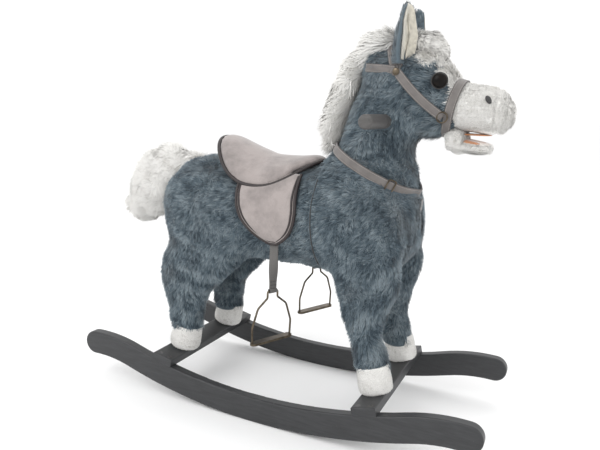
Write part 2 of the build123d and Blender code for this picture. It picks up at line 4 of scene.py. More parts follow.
import bpy
import numpy as np
from bpy.props import FloatProperty, FloatVectorProperty, IntProperty, PointerProperty
from mathutils import Matrix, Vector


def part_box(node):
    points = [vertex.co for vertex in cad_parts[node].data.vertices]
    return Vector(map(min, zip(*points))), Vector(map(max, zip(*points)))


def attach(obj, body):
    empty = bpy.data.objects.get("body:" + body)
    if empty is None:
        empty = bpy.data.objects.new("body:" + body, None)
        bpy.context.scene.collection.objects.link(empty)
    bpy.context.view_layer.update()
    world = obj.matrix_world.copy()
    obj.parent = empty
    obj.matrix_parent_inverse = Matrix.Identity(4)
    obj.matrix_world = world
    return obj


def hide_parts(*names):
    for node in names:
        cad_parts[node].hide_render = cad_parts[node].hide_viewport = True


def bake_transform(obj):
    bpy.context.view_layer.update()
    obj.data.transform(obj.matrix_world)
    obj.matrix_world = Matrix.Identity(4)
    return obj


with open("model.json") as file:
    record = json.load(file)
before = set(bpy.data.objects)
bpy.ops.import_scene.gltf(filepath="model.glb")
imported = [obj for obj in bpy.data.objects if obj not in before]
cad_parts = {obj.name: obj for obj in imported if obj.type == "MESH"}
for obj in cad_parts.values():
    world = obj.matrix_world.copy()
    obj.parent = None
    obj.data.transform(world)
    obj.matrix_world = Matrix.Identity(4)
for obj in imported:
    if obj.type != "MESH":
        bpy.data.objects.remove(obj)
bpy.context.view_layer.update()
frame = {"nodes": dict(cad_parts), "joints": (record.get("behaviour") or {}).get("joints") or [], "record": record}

bl_info = {
    "name": "Rocking Horse Maker",
    "version": (1, 0, 0),
    "blender": (4, 5, 0),
    "location": "View3D > Sidebar > Rocking Horse",
    "description": "Covers the rocking horse's frame with plush, long pile, suede, webbing and metal",
    "category": "Object",
}

NODES = frame["nodes"]
BODIES = frame["record"]["behaviour"]["bodies"]
JOINTS = {joint["name"]: joint for joint in frame["joints"]}
UP = np.array([0.0, 0.0, 1.0])
LEFT = np.array([0.0, 1.0, 0.0])
AHEAD = np.array([1.0, 0.0, 0.0])
SIDES = (("right", -1.0), ("left", 1.0))


# ---- Settings ---------------------------------------------------------------
def colour(name, value, text):
    """A colour setting with its default."""
    return FloatVectorProperty(name=name, description=text, default=value, size=3, min=0.0, max=1.0,
                               subtype="COLOR")


def length(name, value, text):
    """A length setting in metres with its default."""
    return FloatProperty(name=name, description=text, default=value, min=0.0, unit="LENGTH",
                         subtype="DISTANCE")


class RH_Colours(bpy.types.PropertyGroup):
    """Colours of the cloths, the paint and the metal."""

    plush_dark: colour("Plush, dark", (0.030, 0.050, 0.068), "Darkest blue-grey of the mottled plush")
    plush_mid: colour("Plush, middle", (0.112, 0.155, 0.186), "Main blue-grey of the plush")
    plush_light: colour("Plush, light", (0.260, 0.315, 0.345), "Frosted tips of the plush")
    white_dark: colour("White pile, deep", (0.56, 0.545, 0.51), "White pile in its depths")
    white_light: colour("White pile, tips", (0.80, 0.79, 0.765), "White pile at its tips")
    suede: colour("Saddle suede", (0.36, 0.318, 0.305), "Saddle suede")
    suede_deep: colour("Saddle suede, worn", (0.235, 0.208, 0.20),
                       "Saddle suede where its nap lies the other way")
    piping: colour("Piping", (0.014, 0.010, 0.010), "Dark piping round the saddle")
    strap: colour("Straps", (0.165, 0.150, 0.142), "Bridle and breast strap")
    webbing: colour("Webbing", (0.155, 0.148, 0.142), "Stirrup webbing")
    paint: colour("Rocker paint", (0.030, 0.031, 0.033), "Charcoal paint on the rockers and bars")
    handle: colour("Handle paint", (0.075, 0.072, 0.070), "Paint on the handle")
    bronze: colour("Bronzed wire", (0.165, 0.135, 0.100), "Stirrups, rings and rosettes")
    felt: colour("Mouth felt", (0.62, 0.24, 0.075), "Lining of the mouth")
    cream: colour("Ear lining", (0.62, 0.585, 0.50), "Short velour inside the ears")


class RH_Sizes(bpy.types.PropertyGroup):
    """Sizes of the pile, the straps and the padding."""

    pile_depth: length("Plush depth", 0.007, "How far the plush stands off its backing")
    pile_length: length("Plush length", 0.0092, "Length of a tuft of plush")
    tuft_width: length("Tuft width", 0.0016, "Width of a tuft at its root")
    tuft_area: FloatProperty(name="Area for a tuft",
                             description="Backing area that one tuft covers, in square millimetres",
                             default=2.6, min=1.0)
    strap_width: length("Strap width", 0.0140, "Width of the bridle's straps")
    breast_width: length("Breast strap width", 0.0155, "Width of the breast strap")
    strap_thickness: length("Strap thickness", 0.0022, "Thickness of every strap")
    webbing_width: length("Webbing width", 0.0155, "Width of the stirrup webbing")
    piping_radius: length("Piping radius", 0.0026, "Radius of the saddle's piping")
    flap_thickness: length("Flap thickness", 0.0030, "Thickness of the saddle's flaps")
    seat_puff: length("Seat puff", 0.006, "How far the seat may swell in the cloth simulation")
    sim_frames: IntProperty(name="Cloth frames", description="Frames of cloth simulation", default=20, min=1)


def colours():
    """The colour settings."""
    return bpy.context.scene.rocking_horse_colours


def sizes():
    """The size settings."""
    return bpy.context.scene.rocking_horse_sizes


# ---- Numbers and surfaces ---------------------------------------------------
def box(node):
    """Lowest and highest corner of a CAD node, as arrays."""
    low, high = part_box(node)
    return np.array(low), np.array(high)


def at(node, fx, fy, fz):
    """A point in a node's box, as shares of its three sides."""
    low, high = box(node)
    return low + (high - low) * np.array([fx, fy, fz])


def unit(v):
    """Vectors scaled to length one."""
    return v / np.maximum(np.linalg.norm(v, axis=-1, keepdims=True), 1e-12)


def curve_through(rows, count):
    """Catmull-Rom curve: each value is the cubic blend of the four rows round it, sampled evenly."""
    rows = np.asarray(rows, float)
    row = np.vstack([2 * rows[0] - rows[1], rows, 2 * rows[-1] - rows[-2]])
    place = np.linspace(0, len(rows) - 1, count)
    i = np.minimum(place.astype(int), len(rows) - 2)
    f = (place - i)[:, None]
    a, b, c, d = (row[i + k] for k in range(4))
    return b + 0.5 * f * (c - a + f * (2 * a - 5 * b + 4 * c - d + f * (3 * (b - c) + d - a)))


def ripple(points, size, seed):
    """Smooth noise from about -1 to 1: the mean of eight cosine waves in seeded directions, scaled up."""
    rng = np.random.default_rng(seed)
    waves = unit(rng.normal(size=(8, 3))) * (2 * math.pi / size) * rng.uniform(0.6, 1.5, (8, 1))
    phase = rng.uniform(0, 2 * math.pi, 8)
    return np.cos(points @ waves.T + phase).mean(-1) * 2.0


class Stuffed:
    """A stuffed body with elliptical sections along X or Z.

    Each row holds the place along the main axis, the section's centre (the other two coordinates in
    order) and its two half sizes in the same order.
    """

    def __init__(self, rows, along="x", shrink=0.0):
        self.main = "xz".index(along) * 2
        self.cross = [k for k in range(3) if k != self.main]
        self.rows = curve_through(rows, 12 * len(rows))
        self.rows[:, 3:5] = np.maximum(self.rows[:, 3:5] - shrink, 0.002)
        if self.rows[0, 0] > self.rows[-1, 0]:
            self.rows = self.rows[::-1]

    def section(self, place):
        """Centre and half sizes at places along the main axis, read between the rows."""
        return [np.interp(place, self.rows[:, 0], self.rows[:, k]) for k in (1, 2, 3, 4)]

    def holds(self, points, grow=0.0):
        """Whether points lie inside: the squares of the offsets over the half sizes add up to under one."""
        place = points[..., self.main]
        c1, c2, h1, h2 = self.section(place)
        p, q = (points[..., k] for k in self.cross)
        reach = (place > self.rows[0, 0] - grow) & (place < self.rows[-1, 0] + grow)
        return reach & (((p - c1) / (h1 + grow)) ** 2 + ((q - c2) / (h2 + grow)) ** 2 < 1)

    def depth(self, points):
        """Rough distance outside the surface: the elliptical radius less one, times the smaller half size."""
        place = points[..., self.main]
        c1, c2, h1, h2 = self.section(place)
        p, q = (points[..., k] for k in self.cross)
        across = (np.hypot((p - c1) / h1, (q - c2) / h2) - 1) * np.minimum(h1, h2)
        beyond = np.maximum(self.rows[0, 0] - place, place - self.rows[-1, 0])
        return np.where(beyond > 0, np.hypot(np.maximum(across, 0), beyond), across)

    def grid(self, rings, around, dome=(0.0, 0.0), power=1.0):
        """Grid of rings by angle: an ellipse at each place and a dome of quarter ellipses at each end."""
        turn = np.linspace(0, 2 * math.pi, around, endpoint=False)
        place = np.linspace(self.rows[0, 0], self.rows[-1, 0], rings)
        size = np.ones(rings)
        level = np.sqrt(1 - (1 - np.array([0.04, 0.2, 0.42, 0.64, 0.83, 0.95])) ** 2)
        start = place[0] - dome[0] * np.sqrt(1 - level**2)
        end = place[-1] + dome[1] * np.sqrt(1 - level**2)
        place = np.concatenate([start, place, end[::-1]])
        size = np.concatenate([level, size, level[::-1]])
        c1, c2, h1, h2 = self.section(np.clip(place, self.rows[0, 0], self.rows[-1, 0]))
        s, c = np.sin(turn), np.cos(turn)
        s, c = np.sign(s) * np.abs(s) ** power, np.sign(c) * np.abs(c) ** power
        grid = np.zeros((len(place), around, 3))
        grid[..., self.main] = place[:, None]
        grid[..., self.cross[0]] = c1[:, None] + (h1 * size)[:, None] * s
        grid[..., self.cross[1]] = c2[:, None] + (h2 * size)[:, None] * c
        return grid


def tube_grid(path, wide, deep, side, around, power=1.0):
    """Grid round a path: at each point an ellipse, its half widths along side and the path's normal."""
    path = np.asarray(path, float)
    along = unit(np.gradient(path, axis=0))
    side = unit(np.broadcast_to(side, path.shape) - (np.sum(side * along, -1, keepdims=True)) * along)
    out = np.cross(side, along)
    turn = np.linspace(0, 2 * math.pi, around, endpoint=False)
    s, c = np.sin(turn), np.cos(turn)
    s, c = np.sign(s) * np.abs(s) ** power, np.sign(c) * np.abs(c) ** power
    wide, deep = (np.broadcast_to(x, len(path)).reshape(-1, 1, 1) for x in (wide, deep))
    return path[:, None] + side[:, None] * wide * c[None, :, None] + out[:, None] * deep * s[None, :, None]


def outward(grid):
    """Unit normals of a round grid's vertices, pointing away from each ring's middle."""
    du = np.gradient(grid, axis=0)
    dv = np.roll(grid, -1, 1) - np.roll(grid, 1, 1)
    n = unit(np.cross(du, dv))
    middle = grid.mean(1, keepdims=True)
    if np.sum(n * (grid - middle)) < 0:
        n = -n
    return n


def skin_mesh(name, grid, closed=True):
    """Mesh over a grid whose second direction goes round: quads between rings and a fan at each end."""
    rings, around = grid.shape[:2]
    flat = grid.reshape(-1, 3)
    i = np.arange(rings * around).reshape(rings, around)
    j = np.roll(i, -1, 1)
    quads = np.stack([i[:-1], i[1:], j[1:], j[:-1]], -1).reshape(-1, 4)
    points = [flat]
    fans = []
    if closed:
        points += [grid[0].mean(0, keepdims=True), grid[-1].mean(0, keepdims=True)]
        first, last = rings * around, rings * around + 1
        fans = [np.stack([i[0], j[0], np.full(around, first)], -1),
                np.stack([j[-1], i[-1], np.full(around, last)], -1)]
    return mesh_object(name, np.concatenate(points), [quads] + fans)


def mesh_object(name, points, face_groups, attributes=None, smooth=True):
    """Object from whole arrays: points, groups of faces with equal corners, and attributes on the points."""
    mesh = bpy.data.meshes.new(name)
    corners = np.concatenate([f.ravel() for f in face_groups])
    totals = np.concatenate([np.full(len(f), f.shape[1]) for f in face_groups])
    starts = np.concatenate([[0], np.cumsum(totals)[:-1]])
    mesh.vertices.add(len(points))
    mesh.vertices.foreach_set("co", np.asarray(points, np.float32).ravel())
    mesh.loops.add(len(corners))
    mesh.loops.foreach_set("vertex_index", corners.astype(np.int32))
    mesh.polygons.add(len(totals))
    mesh.polygons.foreach_set("loop_start", starts.astype(np.int32))
    mesh.polygons.foreach_set("use_smooth", np.full(len(totals), smooth))
    for key, values in (attributes or {}).items():
        mesh.attributes.new(key, "FLOAT", "POINT").data.foreach_set("value", np.asarray(values, np.float32))
    mesh.update(calc_edges=True)
    mesh.validate()
    piece = bpy.data.objects.new(name, mesh)
    bpy.context.scene.collection.objects.link(piece)
    return piece


def turned_out(piece):
    """Faces of a closed piece turned outwards: its signed volume is made positive."""
    mesh = piece.data
    mesh.calc_loop_triangles()
    tris = np.zeros(len(mesh.loop_triangles) * 3, np.int32)
    mesh.loop_triangles.foreach_get("vertices", tris)
    co = np.zeros(len(mesh.vertices) * 3, np.float32)
    mesh.vertices.foreach_get("co", co)
    a, b, c = co.reshape(-1, 3)[tris.reshape(-1, 3)].transpose(1, 0, 2)
    if np.sum(np.cross(a, b) * c) < 0:
        mesh.flip_normals()
    return piece


def dress(piece, body, slot, look, *nodes):
    """Puts a piece on its body, gives it its material and hides the CAD nodes it stands for; slot is not used."""
    piece.data.materials.append(look)
    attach(piece, body)
    if nodes:
        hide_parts(*nodes)
    return piece


# ---- Pile -------------------------------------------------------------------
def scatter(grid, count, rng):
    """Even points over a round grid, with normals: cells drawn by area, places in them evenly."""
    normals = outward(grid)
    nxt, nxt_n = np.roll(grid, -1, 1), np.roll(normals, -1, 1)
    cells = [q.reshape(-1, 3) for q in (grid[:-1], nxt[:-1], grid[1:], nxt[1:])]
    cell_normals = [q.reshape(-1, 3) for q in (normals[:-1], nxt_n[:-1], normals[1:], nxt_n[1:])]
    area = np.linalg.norm(np.cross(cells[1] - cells[2], cells[3] - cells[0]), axis=1)
    pick = rng.choice(len(area), count, p=area / area.sum())
    u, v = rng.random((2, count, 1))
    weight = [(1 - u) * (1 - v), (1 - u) * v, u * (1 - v), u * v]
    points = sum(w * c[pick] for w, c in zip(weight, cells))
    return points, unit(sum(w * c[pick] for w, c in zip(weight, cell_normals)))


def surface_area(grid):
    """Area of a round grid, from the diagonals of its cells."""
    nxt = np.roll(grid, -1, 1)
    return 0.5 * np.linalg.norm(np.cross(nxt[:-1] - grid[1:], nxt[1:] - grid[:-1]), axis=2).sum()


def pile(name, grid, look, flow, seed, long=None, wide=None, area=None, lift=0.45, swirl=0.55, clump=0.0085,
         gather=0.45, levels=1, keep=None, white=None, droop=0.0, tone=0.0, rough=0.3):
    """Tufts over a round grid, each a strip that narrows to a point.

    A tuft leaves along the normal and lies down along the combed direction: its height grows as
    2t - t*t and its run as t to the power 1.3. Smooth noise turns the comb, tips are drawn to the
    middle of a small cell so that tufts clump, and droop adds a fall that grows as t squared.
    """
    rng = np.random.default_rng(seed)
    long, wide = long or sizes().pile_length, wide or sizes().tuft_width
    count = int(surface_area(grid) * 1e6 / (area or sizes().tuft_area))
    root, normal = scatter(grid, count, rng)
    if keep is not None:
        held = keep(root)
        root, normal = root[held], normal[held]
    count = len(root)
    comb = flow(root, normal) if callable(flow) else np.broadcast_to(np.asarray(flow, float), root.shape)
    turn = np.stack([ripple(root, 0.05, seed + k) for k in (11, 12, 13)], -1)
    comb = unit(comb) + swirl * turn + rough * rng.normal(size=root.shape)
    comb = unit(comb - np.sum(comb * normal, -1, keepdims=True) * normal)
    side = np.cross(normal, comb)
    reach = long * rng.uniform(0.65, 1.15, count) * (1 + 0.25 * ripple(root, 0.03, seed + 14))
    cell = np.floor(root / clump + 0.35 * turn)
    pull = (cell + 0.5) * clump - root
    pull -= np.sum(pull * normal, -1, keepdims=True) * normal
    t = np.linspace(0, 1, levels + 1)
    height = lift * (2 * t - t * t)
    run = t**1.3 * math.sqrt(max(1 - lift * lift, 0.05))
    spine = (root[:, None] + reach[:, None, None] * (normal[:, None] * height[None, :, None]
             + comb[:, None] * run[None, :, None]) + gather * pull[:, None] * (t * t)[None, :, None])
    spine[..., 2] -= droop * (t * t)[None, :] * reach[:, None]
    half = 0.5 * wide * rng.uniform(0.75, 1.25, (count, 1)) * np.linspace(1.0, 0.62, levels)
    edge = side[:, None] * half[..., None]
    low, high = spine[:, :-1] - edge, spine[:, :-1] + edge
    points = np.concatenate([low, high, spine[:, -1:]], 1)
    step = 2 * levels + 1
    base = (np.arange(count) * step)[:, None]
    k = np.arange(levels - 1)
    quads = np.stack([base + k, base + levels + k, base + levels + k + 1, base + k + 1], -1).reshape(-1, 4)
    tips = np.concatenate([base + levels - 1, base + 2 * levels - 1, base + 2 * levels], 1)
    tint = tone + 0.48 + 0.34 * ripple(root, 0.034, seed + 15) + 0.36 * ripple(root, 0.009, seed + 16)
    tint += rng.normal(0, 0.16, count)
    # The pile value runs from 0 at the root to 1 at the tip; the plush materials darken the roots by it as painted
    # shade.
    share = np.concatenate([t[:-1], t[:-1], t[-1:]])
    attributes = {"pile": np.tile(share, count), "tint": np.repeat(np.clip(tint, 0, 1), step)}
    if white is not None:
        attributes["white"] = np.repeat(white(root), step)
    return mesh_object(name, points.reshape(-1, 3), [quads, tips], attributes)


def backing(name, grid, share=0.3, tint=0.35, white=None):
    """The cloth under the pile: a closed skin with the pile's attributes set to one depth, share, by which the
    materials darken it as painted shade under the tufts.
    """
    piece = turned_out(skin_mesh(name, grid))
    count = len(piece.data.vertices)
    values = {"pile": np.full(count, share), "tint": np.full(count, tint)}
    if white is not None:
        co = np.zeros(count * 3, np.float32)
        piece.data.vertices.foreach_get("co", co)
        values["white"] = white(co.reshape(-1, 3))
    for key, value in values.items():
        piece.data.attributes.new(key, "FLOAT", "POINT").data.foreach_set("value",
                                                                          np.asarray(value, np.float32))
    return piece


def plush(name, grid, body, slot, look, nodes, flow, seed, fill=0.9, white=None, **pile_settings):
    """A stuffed plush piece: its backing, which stands for the CAD nodes, and the pile on it."""
    cloth = dress(backing(name, grid, white=white), body, slot, look, *nodes)
    tufts = pile(name + "_pile", grid, look, flow, seed, white=white, **pile_settings)
    dress(tufts, body, slot, look)
    return cloth


# ---- Materials --------------------------------------------------------------
class Look:
    """A node material in the making: short calls add nodes and links."""

    def __init__(self, name, **sockets):
        self.material = bpy.data.materials.new(name)
        self.material.use_nodes = True
        self.nodes = self.material.node_tree.nodes
        self.links = self.material.node_tree.links
        self.shader = self.nodes["Principled BSDF"]
        for key, value in sockets.items():
            self.shader.inputs[key.replace("_", " ")].default_value = value

    def add(self, kind, inputs=(), **settings):
        """A node with settings and inputs; an input that is a socket is linked, any other is a value."""
        node = self.nodes.new("ShaderNode" + kind)
        for key, value in settings.items():
            setattr(node, key, value)
        for key, value in dict(inputs).items():
            if isinstance(value, bpy.types.NodeSocket):
                self.links.new(value, node.inputs[key])
            else:
                node.inputs[key].default_value = value
        return node

    def ramp(self, value, *stops):
        """Colour ramp through (place, colour) stops; a single number is a grey."""
        node = self.add("ValToRGB", {"Fac": value})
        elements = node.color_ramp.elements
        while len(elements) < len(stops):
            elements.new(0.5)
        for element, (place, shade) in zip(elements, stops):
            element.position = place
            element.color = (*((shade,) * 3 if isinstance(shade, float) else tuple(shade)), 1.0)
        return node.outputs["Color"]

    def mix(self, factor, a, b, blend="MIX"):
        """Colour mix of a and b."""
        node = self.add("Mix", data_type="RGBA", blend_type=blend)
        for key, value in ((0, factor), (6, a), (7, b)):
            if isinstance(value, bpy.types.NodeSocket):
                self.links.new(value, node.inputs[key])
            elif key == 0:
                node.inputs[key].default_value = value
            else:
                node.inputs[key].default_value = (*value, 1.0)
        return node.outputs[2]

    def place(self, kind="Object"):
        """Texture coordinates."""
        return self.add("TexCoord").outputs[kind]

    def noise(self, scale, detail=3.0, where=None, stretch=None, roughness=0.55):
        """Noise on object coordinates, in waves to the metre, stretched if asked."""
        where = where or self.place()
        if stretch:
            where = self.add("Mapping", {"Vector": where, "Scale": stretch}).outputs["Vector"]
        node = self.add("TexNoise",
                        {"Vector": where, "Scale": scale, "Detail": detail, "Roughness": roughness})
        return node.outputs["Fac"]

    def colour(self, socket):
        """Links the base colour."""
        self.links.new(socket, self.shader.inputs["Base Color"])

    def rough(self, value, low, high):
        """Roughness that runs from low to high with a value."""
        node = self.add("MapRange", {"Value": value, "To Min": low, "To Max": high})
        self.links.new(node.outputs["Result"], self.shader.inputs["Roughness"])

    def bump(self, height, strength, distance):
        """Bump from a height; several calls stack."""
        node = self.add("Bump", {"Height": height, "Strength": strength, "Distance": distance})
        before = self.shader.inputs["Normal"].links
        if before:
            self.links.new(before[0].from_socket, node.inputs["Normal"])
        self.links.new(node.outputs["Normal"], self.shader.inputs["Normal"])

    def attribute(self, name):
        """A piece's own value."""
        return self.add("Attribute", attribute_name=name).outputs["Fac"]


LOOKS = {}


def look(name):
    """The named material, made once."""
    if name not in LOOKS:
        LOOKS[name] = MAKERS[name](name).material
    return LOOKS[name]


def make_plush(name):
    """Mottled plush: a ramp over the tuft's tint, painted shade that darkens it at the root, and white where the
    piece says so.
    """
    c = colours()
    m = Look(name, Roughness=0.85, Sheen_Weight=0.35, Sheen_Roughness=0.45)
    shade = m.ramp(m.attribute("tint"), (0.0, c.plush_dark), (0.45, c.plush_mid), (1.0, c.plush_light))
    snow = m.ramp(m.attribute("tint"), (0.0, c.white_dark), (0.55, c.white_light))
    # Painted shade: darker towards each tuft's root (pile value 0) and on the backing, where the tufts around it
    # would shade it.
    depth = m.ramp(m.attribute("pile"), (0.0, 0.42), (0.45, 0.80), (1.0, 1.0))
    snow_root_shade = m.ramp(m.attribute("pile"), (0.0, 0.84), (0.6, 1.0))
    fur = m.mix(1.0, shade, depth, "MULTIPLY")
    snow = m.mix(1.0, snow, snow_root_shade, "MULTIPLY")
    m.colour(m.mix(m.attribute("white"), fur, snow))
    m.bump(m.noise(900.0, 2.0), 0.3, 0.0006)
    return m


def make_white(name):
    """White pile: cream to white by the tuft's tint, with painted shade that darkens it towards the root and
    between tufts.
    """
    c = colours()
    m = Look(name, Roughness=0.8, Sheen_Weight=0.3, Sheen_Roughness=0.5)
    shade = m.ramp(m.attribute("tint"), (0.0, c.white_dark), (0.6, c.white_light))
    # Painted shade: the pile value darkens each tuft's root and the backing between tufts.
    depth = m.ramp(m.attribute("pile"), (0.0, 0.76), (0.5, 0.93), (1.0, 1.0))
    m.colour(m.mix(1.0, shade, depth, "MULTIPLY"))
    m.bump(m.noise(700.0, 2.0), 0.25, 0.0006)
    return m


def make_suede(name):
    """Saddle suede: cloudy nap, faint pink, fine grain and soft creases."""
    c = colours()
    m = Look(name, Roughness=0.82, Sheen_Weight=0.45, Sheen_Roughness=0.4)
    cloud = m.noise(26.0, 4.0, roughness=0.62)
    shade = m.ramp(cloud, (0.32, c.suede_deep), (0.58, c.suede))
    speck = m.ramp(m.noise(1500.0, 2.0), (0.3, 0.82), (0.7, 1.0))
    m.colour(m.mix(1.0, shade, speck, "MULTIPLY"))
    m.rough(cloud, 0.7, 0.92)
    m.bump(m.noise(48.0, 3.0), 0.35, 0.0016)
    m.bump(m.noise(1800.0, 2.0), 0.35, 0.0003)
    return m


def make_strap(name):
    """Strap suede: fine grain, edges darkened and a stitched line near each edge on the strap's own map."""
    c = colours()
    m = Look(name, Roughness=0.75, Sheen_Weight=0.3)
    across = m.add("SeparateXYZ", {"Vector": m.place("UV")}).outputs["Y"]
    along = m.add("SeparateXYZ", {"Vector": m.place("UV")}).outputs["X"]
    offset = m.add("Math", {0: across, 1: 0.5}, operation="SUBTRACT").outputs[0]
    edge = m.add("Math", {0: offset}, operation="ABSOLUTE").outputs[0]
    tone = m.ramp(m.noise(60.0, 4.0), (0.3, [0.72 * v for v in c.strap]), (0.7, c.strap))
    dark = m.ramp(edge, (0.40, 1.0), (0.48, 0.45))
    line = m.add("Math", {0: edge, 1: 0.36, 2: 0.022}, operation="COMPARE").outputs[0]
    beat = m.add("Math", {0: along, 1: 1 / 0.0035}, operation="MULTIPLY").outputs[0]
    dash = m.add("Math", {0: m.add("Math", {0: beat}, operation="FRACT").outputs[0], 1: 0.28},
                 operation="GREATER_THAN")
    stitch = m.add("Math", {0: line, 1: dash.outputs[0]}, operation="MULTIPLY").outputs[0]
    body = m.mix(1.0, tone, dark, "MULTIPLY")
    m.colour(m.mix(stitch, body, [1.7 * v for v in c.strap]))
    m.bump(m.noise(1600.0, 2.0), 0.4, 0.0003)
    m.bump(stitch, 0.5, 0.0005)
    return m


def make_webbing(name):
    """Woven webbing: ribs along and across on the strap's own map."""
    c = colours()
    m = Look(name, Roughness=0.8, Sheen_Weight=0.2)
    where = m.place("UV")
    ribs = m.add("TexWave", {"Vector": where, "Scale": 260.0, "Distortion": 0.5},
                 bands_direction="X").outputs["Fac"]
    cords = m.add("TexWave", {"Vector": where, "Scale": 4.5, "Distortion": 0.2},
                  bands_direction="Y").outputs["Fac"]
    weave = m.add("Math", {0: ribs, 1: cords}, operation="MULTIPLY").outputs[0]
    m.colour(m.ramp(weave, (0.0, [0.6 * v for v in c.webbing]), (0.8, [1.25 * v for v in c.webbing])))
    m.bump(weave, 0.7, 0.0006)
    return m


def make_piping(name):
    """Dark piping with a slight shine and fine creases."""
    m = Look(name, Roughness=0.5)
    m.colour(m.ramp(m.noise(220.0, 3.0), (0.3, colours().piping),
                    (0.75, [2.2 * v for v in colours().piping])))
    m.bump(m.noise(500.0, 3.0), 0.4, 0.0005)
    return m


def make_paint(name, shade=None, gloss=(0.34, 0.5)):
    """Satin paint on wood: faint grain telegraphing through, small scuffs and uneven sheen."""
    shade = shade or colours().paint
    m = Look(name, Specular_IOR_Level=0.45)
    grain = m.noise(34.0, 5.0, stretch=(1.0, 14.0, 9.0))
    wear = m.noise(420.0, 2.0)
    body = m.ramp(grain, (0.3, [0.8 * v for v in shade]), (0.7, [1.3 * v for v in shade]))
    scuff = m.ramp(wear, (0.70, 0.0), (0.78, 0.5))
    m.colour(m.mix(scuff, body, [2.4 * v + 0.01 for v in shade]))
    m.rough(grain, *gloss)
    m.bump(grain, 0.25, 0.0005)
    m.bump(m.noise(900.0, 2.0), 0.12, 0.0002)
    return m


def make_handle(name):
    """Grey paint on the handle."""
    return make_paint(name, colours().handle, (0.42, 0.6))


def make_bronze(name):
    """Bronzed wire: tarnish clouds over warm metal."""
    c = colours()
    m = Look(name, Metallic=1.0)
    tarnish = m.noise(90.0, 4.0)
    m.colour(m.ramp(tarnish, (0.32, [0.45 * v for v in c.bronze]), (0.66, c.bronze)))
    m.rough(tarnish, 0.5, 0.28)
    m.bump(m.noise(1400.0, 2.0), 0.2, 0.0002)
    return m


def make_steel(name):
    """Darkened steel of the screws and bolts."""
    m = Look(name, Metallic=1.0)
    m.colour(m.ramp(m.noise(300.0, 3.0), (0.3, 0.05), (0.7, 0.16)))
    m.rough(m.noise(150.0, 2.0), 0.3, 0.55)
    return m


def make_eye(name):
    """Polished black eye with a hint of brown in its depth."""
    m = Look(name, Roughness=0.28, Specular_IOR_Level=0.12)
    m.colour(m.ramp(m.noise(120.0, 2.0), (0.3, 0.0035), (0.8, (0.012, 0.008, 0.006))))
    return m


def make_felt(name):
    """Matted felt of the mouth."""
    c = colours()
    m = Look(name, Roughness=0.9, Sheen_Weight=0.4)
    m.colour(m.ramp(m.noise(180.0, 4.0), (0.3, [0.55 * v for v in c.felt]), (0.7, c.felt)))
    m.bump(m.noise(1300.0, 3.0), 0.6, 0.0006)
    return m


def make_cream(name):
    """Cream velour of the ear linings."""
    c = colours()
    m = Look(name, Roughness=0.85, Sheen_Weight=0.5)
    m.colour(m.ramp(m.noise(110.0, 4.0), (0.3, [0.6 * v for v in c.cream]), (0.65, c.cream)))
    m.bump(m.noise(900.0, 3.0), 0.6, 0.0008)
    return m


def make_thread(name):
    """Dark satin-stitch thread of the nostrils and seams; in the parting behind the shoulders it is painted shade.
    """
    m = Look(name, Roughness=0.55, Sheen_Weight=0.2)
    m.colour(m.ramp(m.noise(1200.0, 2.0, stretch=(1.0, 1.0, 0.2)), (0.3, 0.008), (0.7, 0.04)))
    m.bump(m.noise(1500.0, 2.0, stretch=(1.0, 1.0, 0.15)), 0.6, 0.0005)
    return m


def make_wood(name):
    """Bare wood of the inner frame: stretched grain."""
    m = Look(name, Roughness=0.7)
    grain = m.noise(60.0, 5.0, stretch=(1.0, 6.0, 1.0))
    m.colour(m.ramp(grain, (0.3, (0.35, 0.22, 0.11)), (0.7, (0.58, 0.42, 0.25))))
    m.bump(grain, 0.3, 0.0005)
    return m


def make_plastic(name):
    """Black moulded plastic of the sealed units and levers."""
    m = Look(name, Roughness=0.5)
    m.colour(m.ramp(m.noise(200.0, 2.0), (0.3, 0.02), (0.7, 0.035)))
    m.bump(m.noise(900.0, 2.0), 0.2, 0.0002)
    return m


MAKERS = {
    "grey_plush": make_plush, "white_pile": make_white, "saddle_suede": make_suede, "strap_suede": make_strap,
    "stirrup_webbing": make_webbing, "dark_piping": make_piping, "rocker_paint": make_paint,
    "handle_paint": make_handle, "bronzed_wire": make_bronze, "dark_steel": make_steel, "eye_black": make_eye,
    "mouth_felt": make_felt, "cream_velour": make_cream, "dark_thread": make_thread, "frame_wood": make_wood,
    "unit_plastic": make_plastic,
}

# ---- The horse's stuffed shapes ---------------------------------------------
def rows_in(node, table, along="x"):
    """Rows of a stuffed body from shares of a node's box: place, centre, half width and half height.

    Along X a row is (x, z, half width, half height), along Z it is (z, x, half length, half width); a
    half size is a share of half the box's side.
    """
    low, high = box(node)
    size = high - low
    middle_y = (low[1] + high[1]) / 2
    rows = []
    for place, centre, first, second in table:
        if along == "x":
            rows.append((low[0] + place * size[0], middle_y, low[2] + centre * size[2],
                         first * size[1] / 2, second * size[2] / 2))
        else:
            rows.append((low[2] + place * size[2], low[0] + centre * size[0], middle_y,
                         first * size[0] / 2, second * size[1] / 2))
    return rows


TORSO_ROWS = [
    (0.00, 0.51, 0.45, 0.42), (0.035, 0.51, 0.68, 0.63), (0.12, 0.49, 0.91, 0.89), (0.25, 0.465, 0.99, 0.93),
    (0.44, 0.455, 1.00, 0.88), (0.63, 0.475, 1.00, 0.93), (0.77, 0.505, 1.00, 0.98),
    (0.89, 0.505, 0.91, 0.93),
    (0.965, 0.495, 0.73, 0.76), (1.00, 0.485, 0.48, 0.51),
]
NECK_ROWS = [
    (-0.03, 0.46, 1.06, 1.02), (0.28, 0.51, 0.95, 0.83), (0.50, 0.565, 0.82, 0.71), (0.72, 0.61, 0.79, 0.65),
    (0.94, 0.69, 0.74, 0.61), (1.12, 0.74, 0.60, 0.54),
]
HEAD_ROWS = [
    (0.00, 0.74, 0.36, 0.28), (0.12, 0.685, 0.67, 0.57), (0.29, 0.59, 0.84, 0.78), (0.51, 0.51, 0.96, 0.95),
    (0.73, 0.475, 0.99, 0.98), (0.90, 0.42, 0.89, 0.80), (1.02, 0.35, 0.82, 0.58),
]
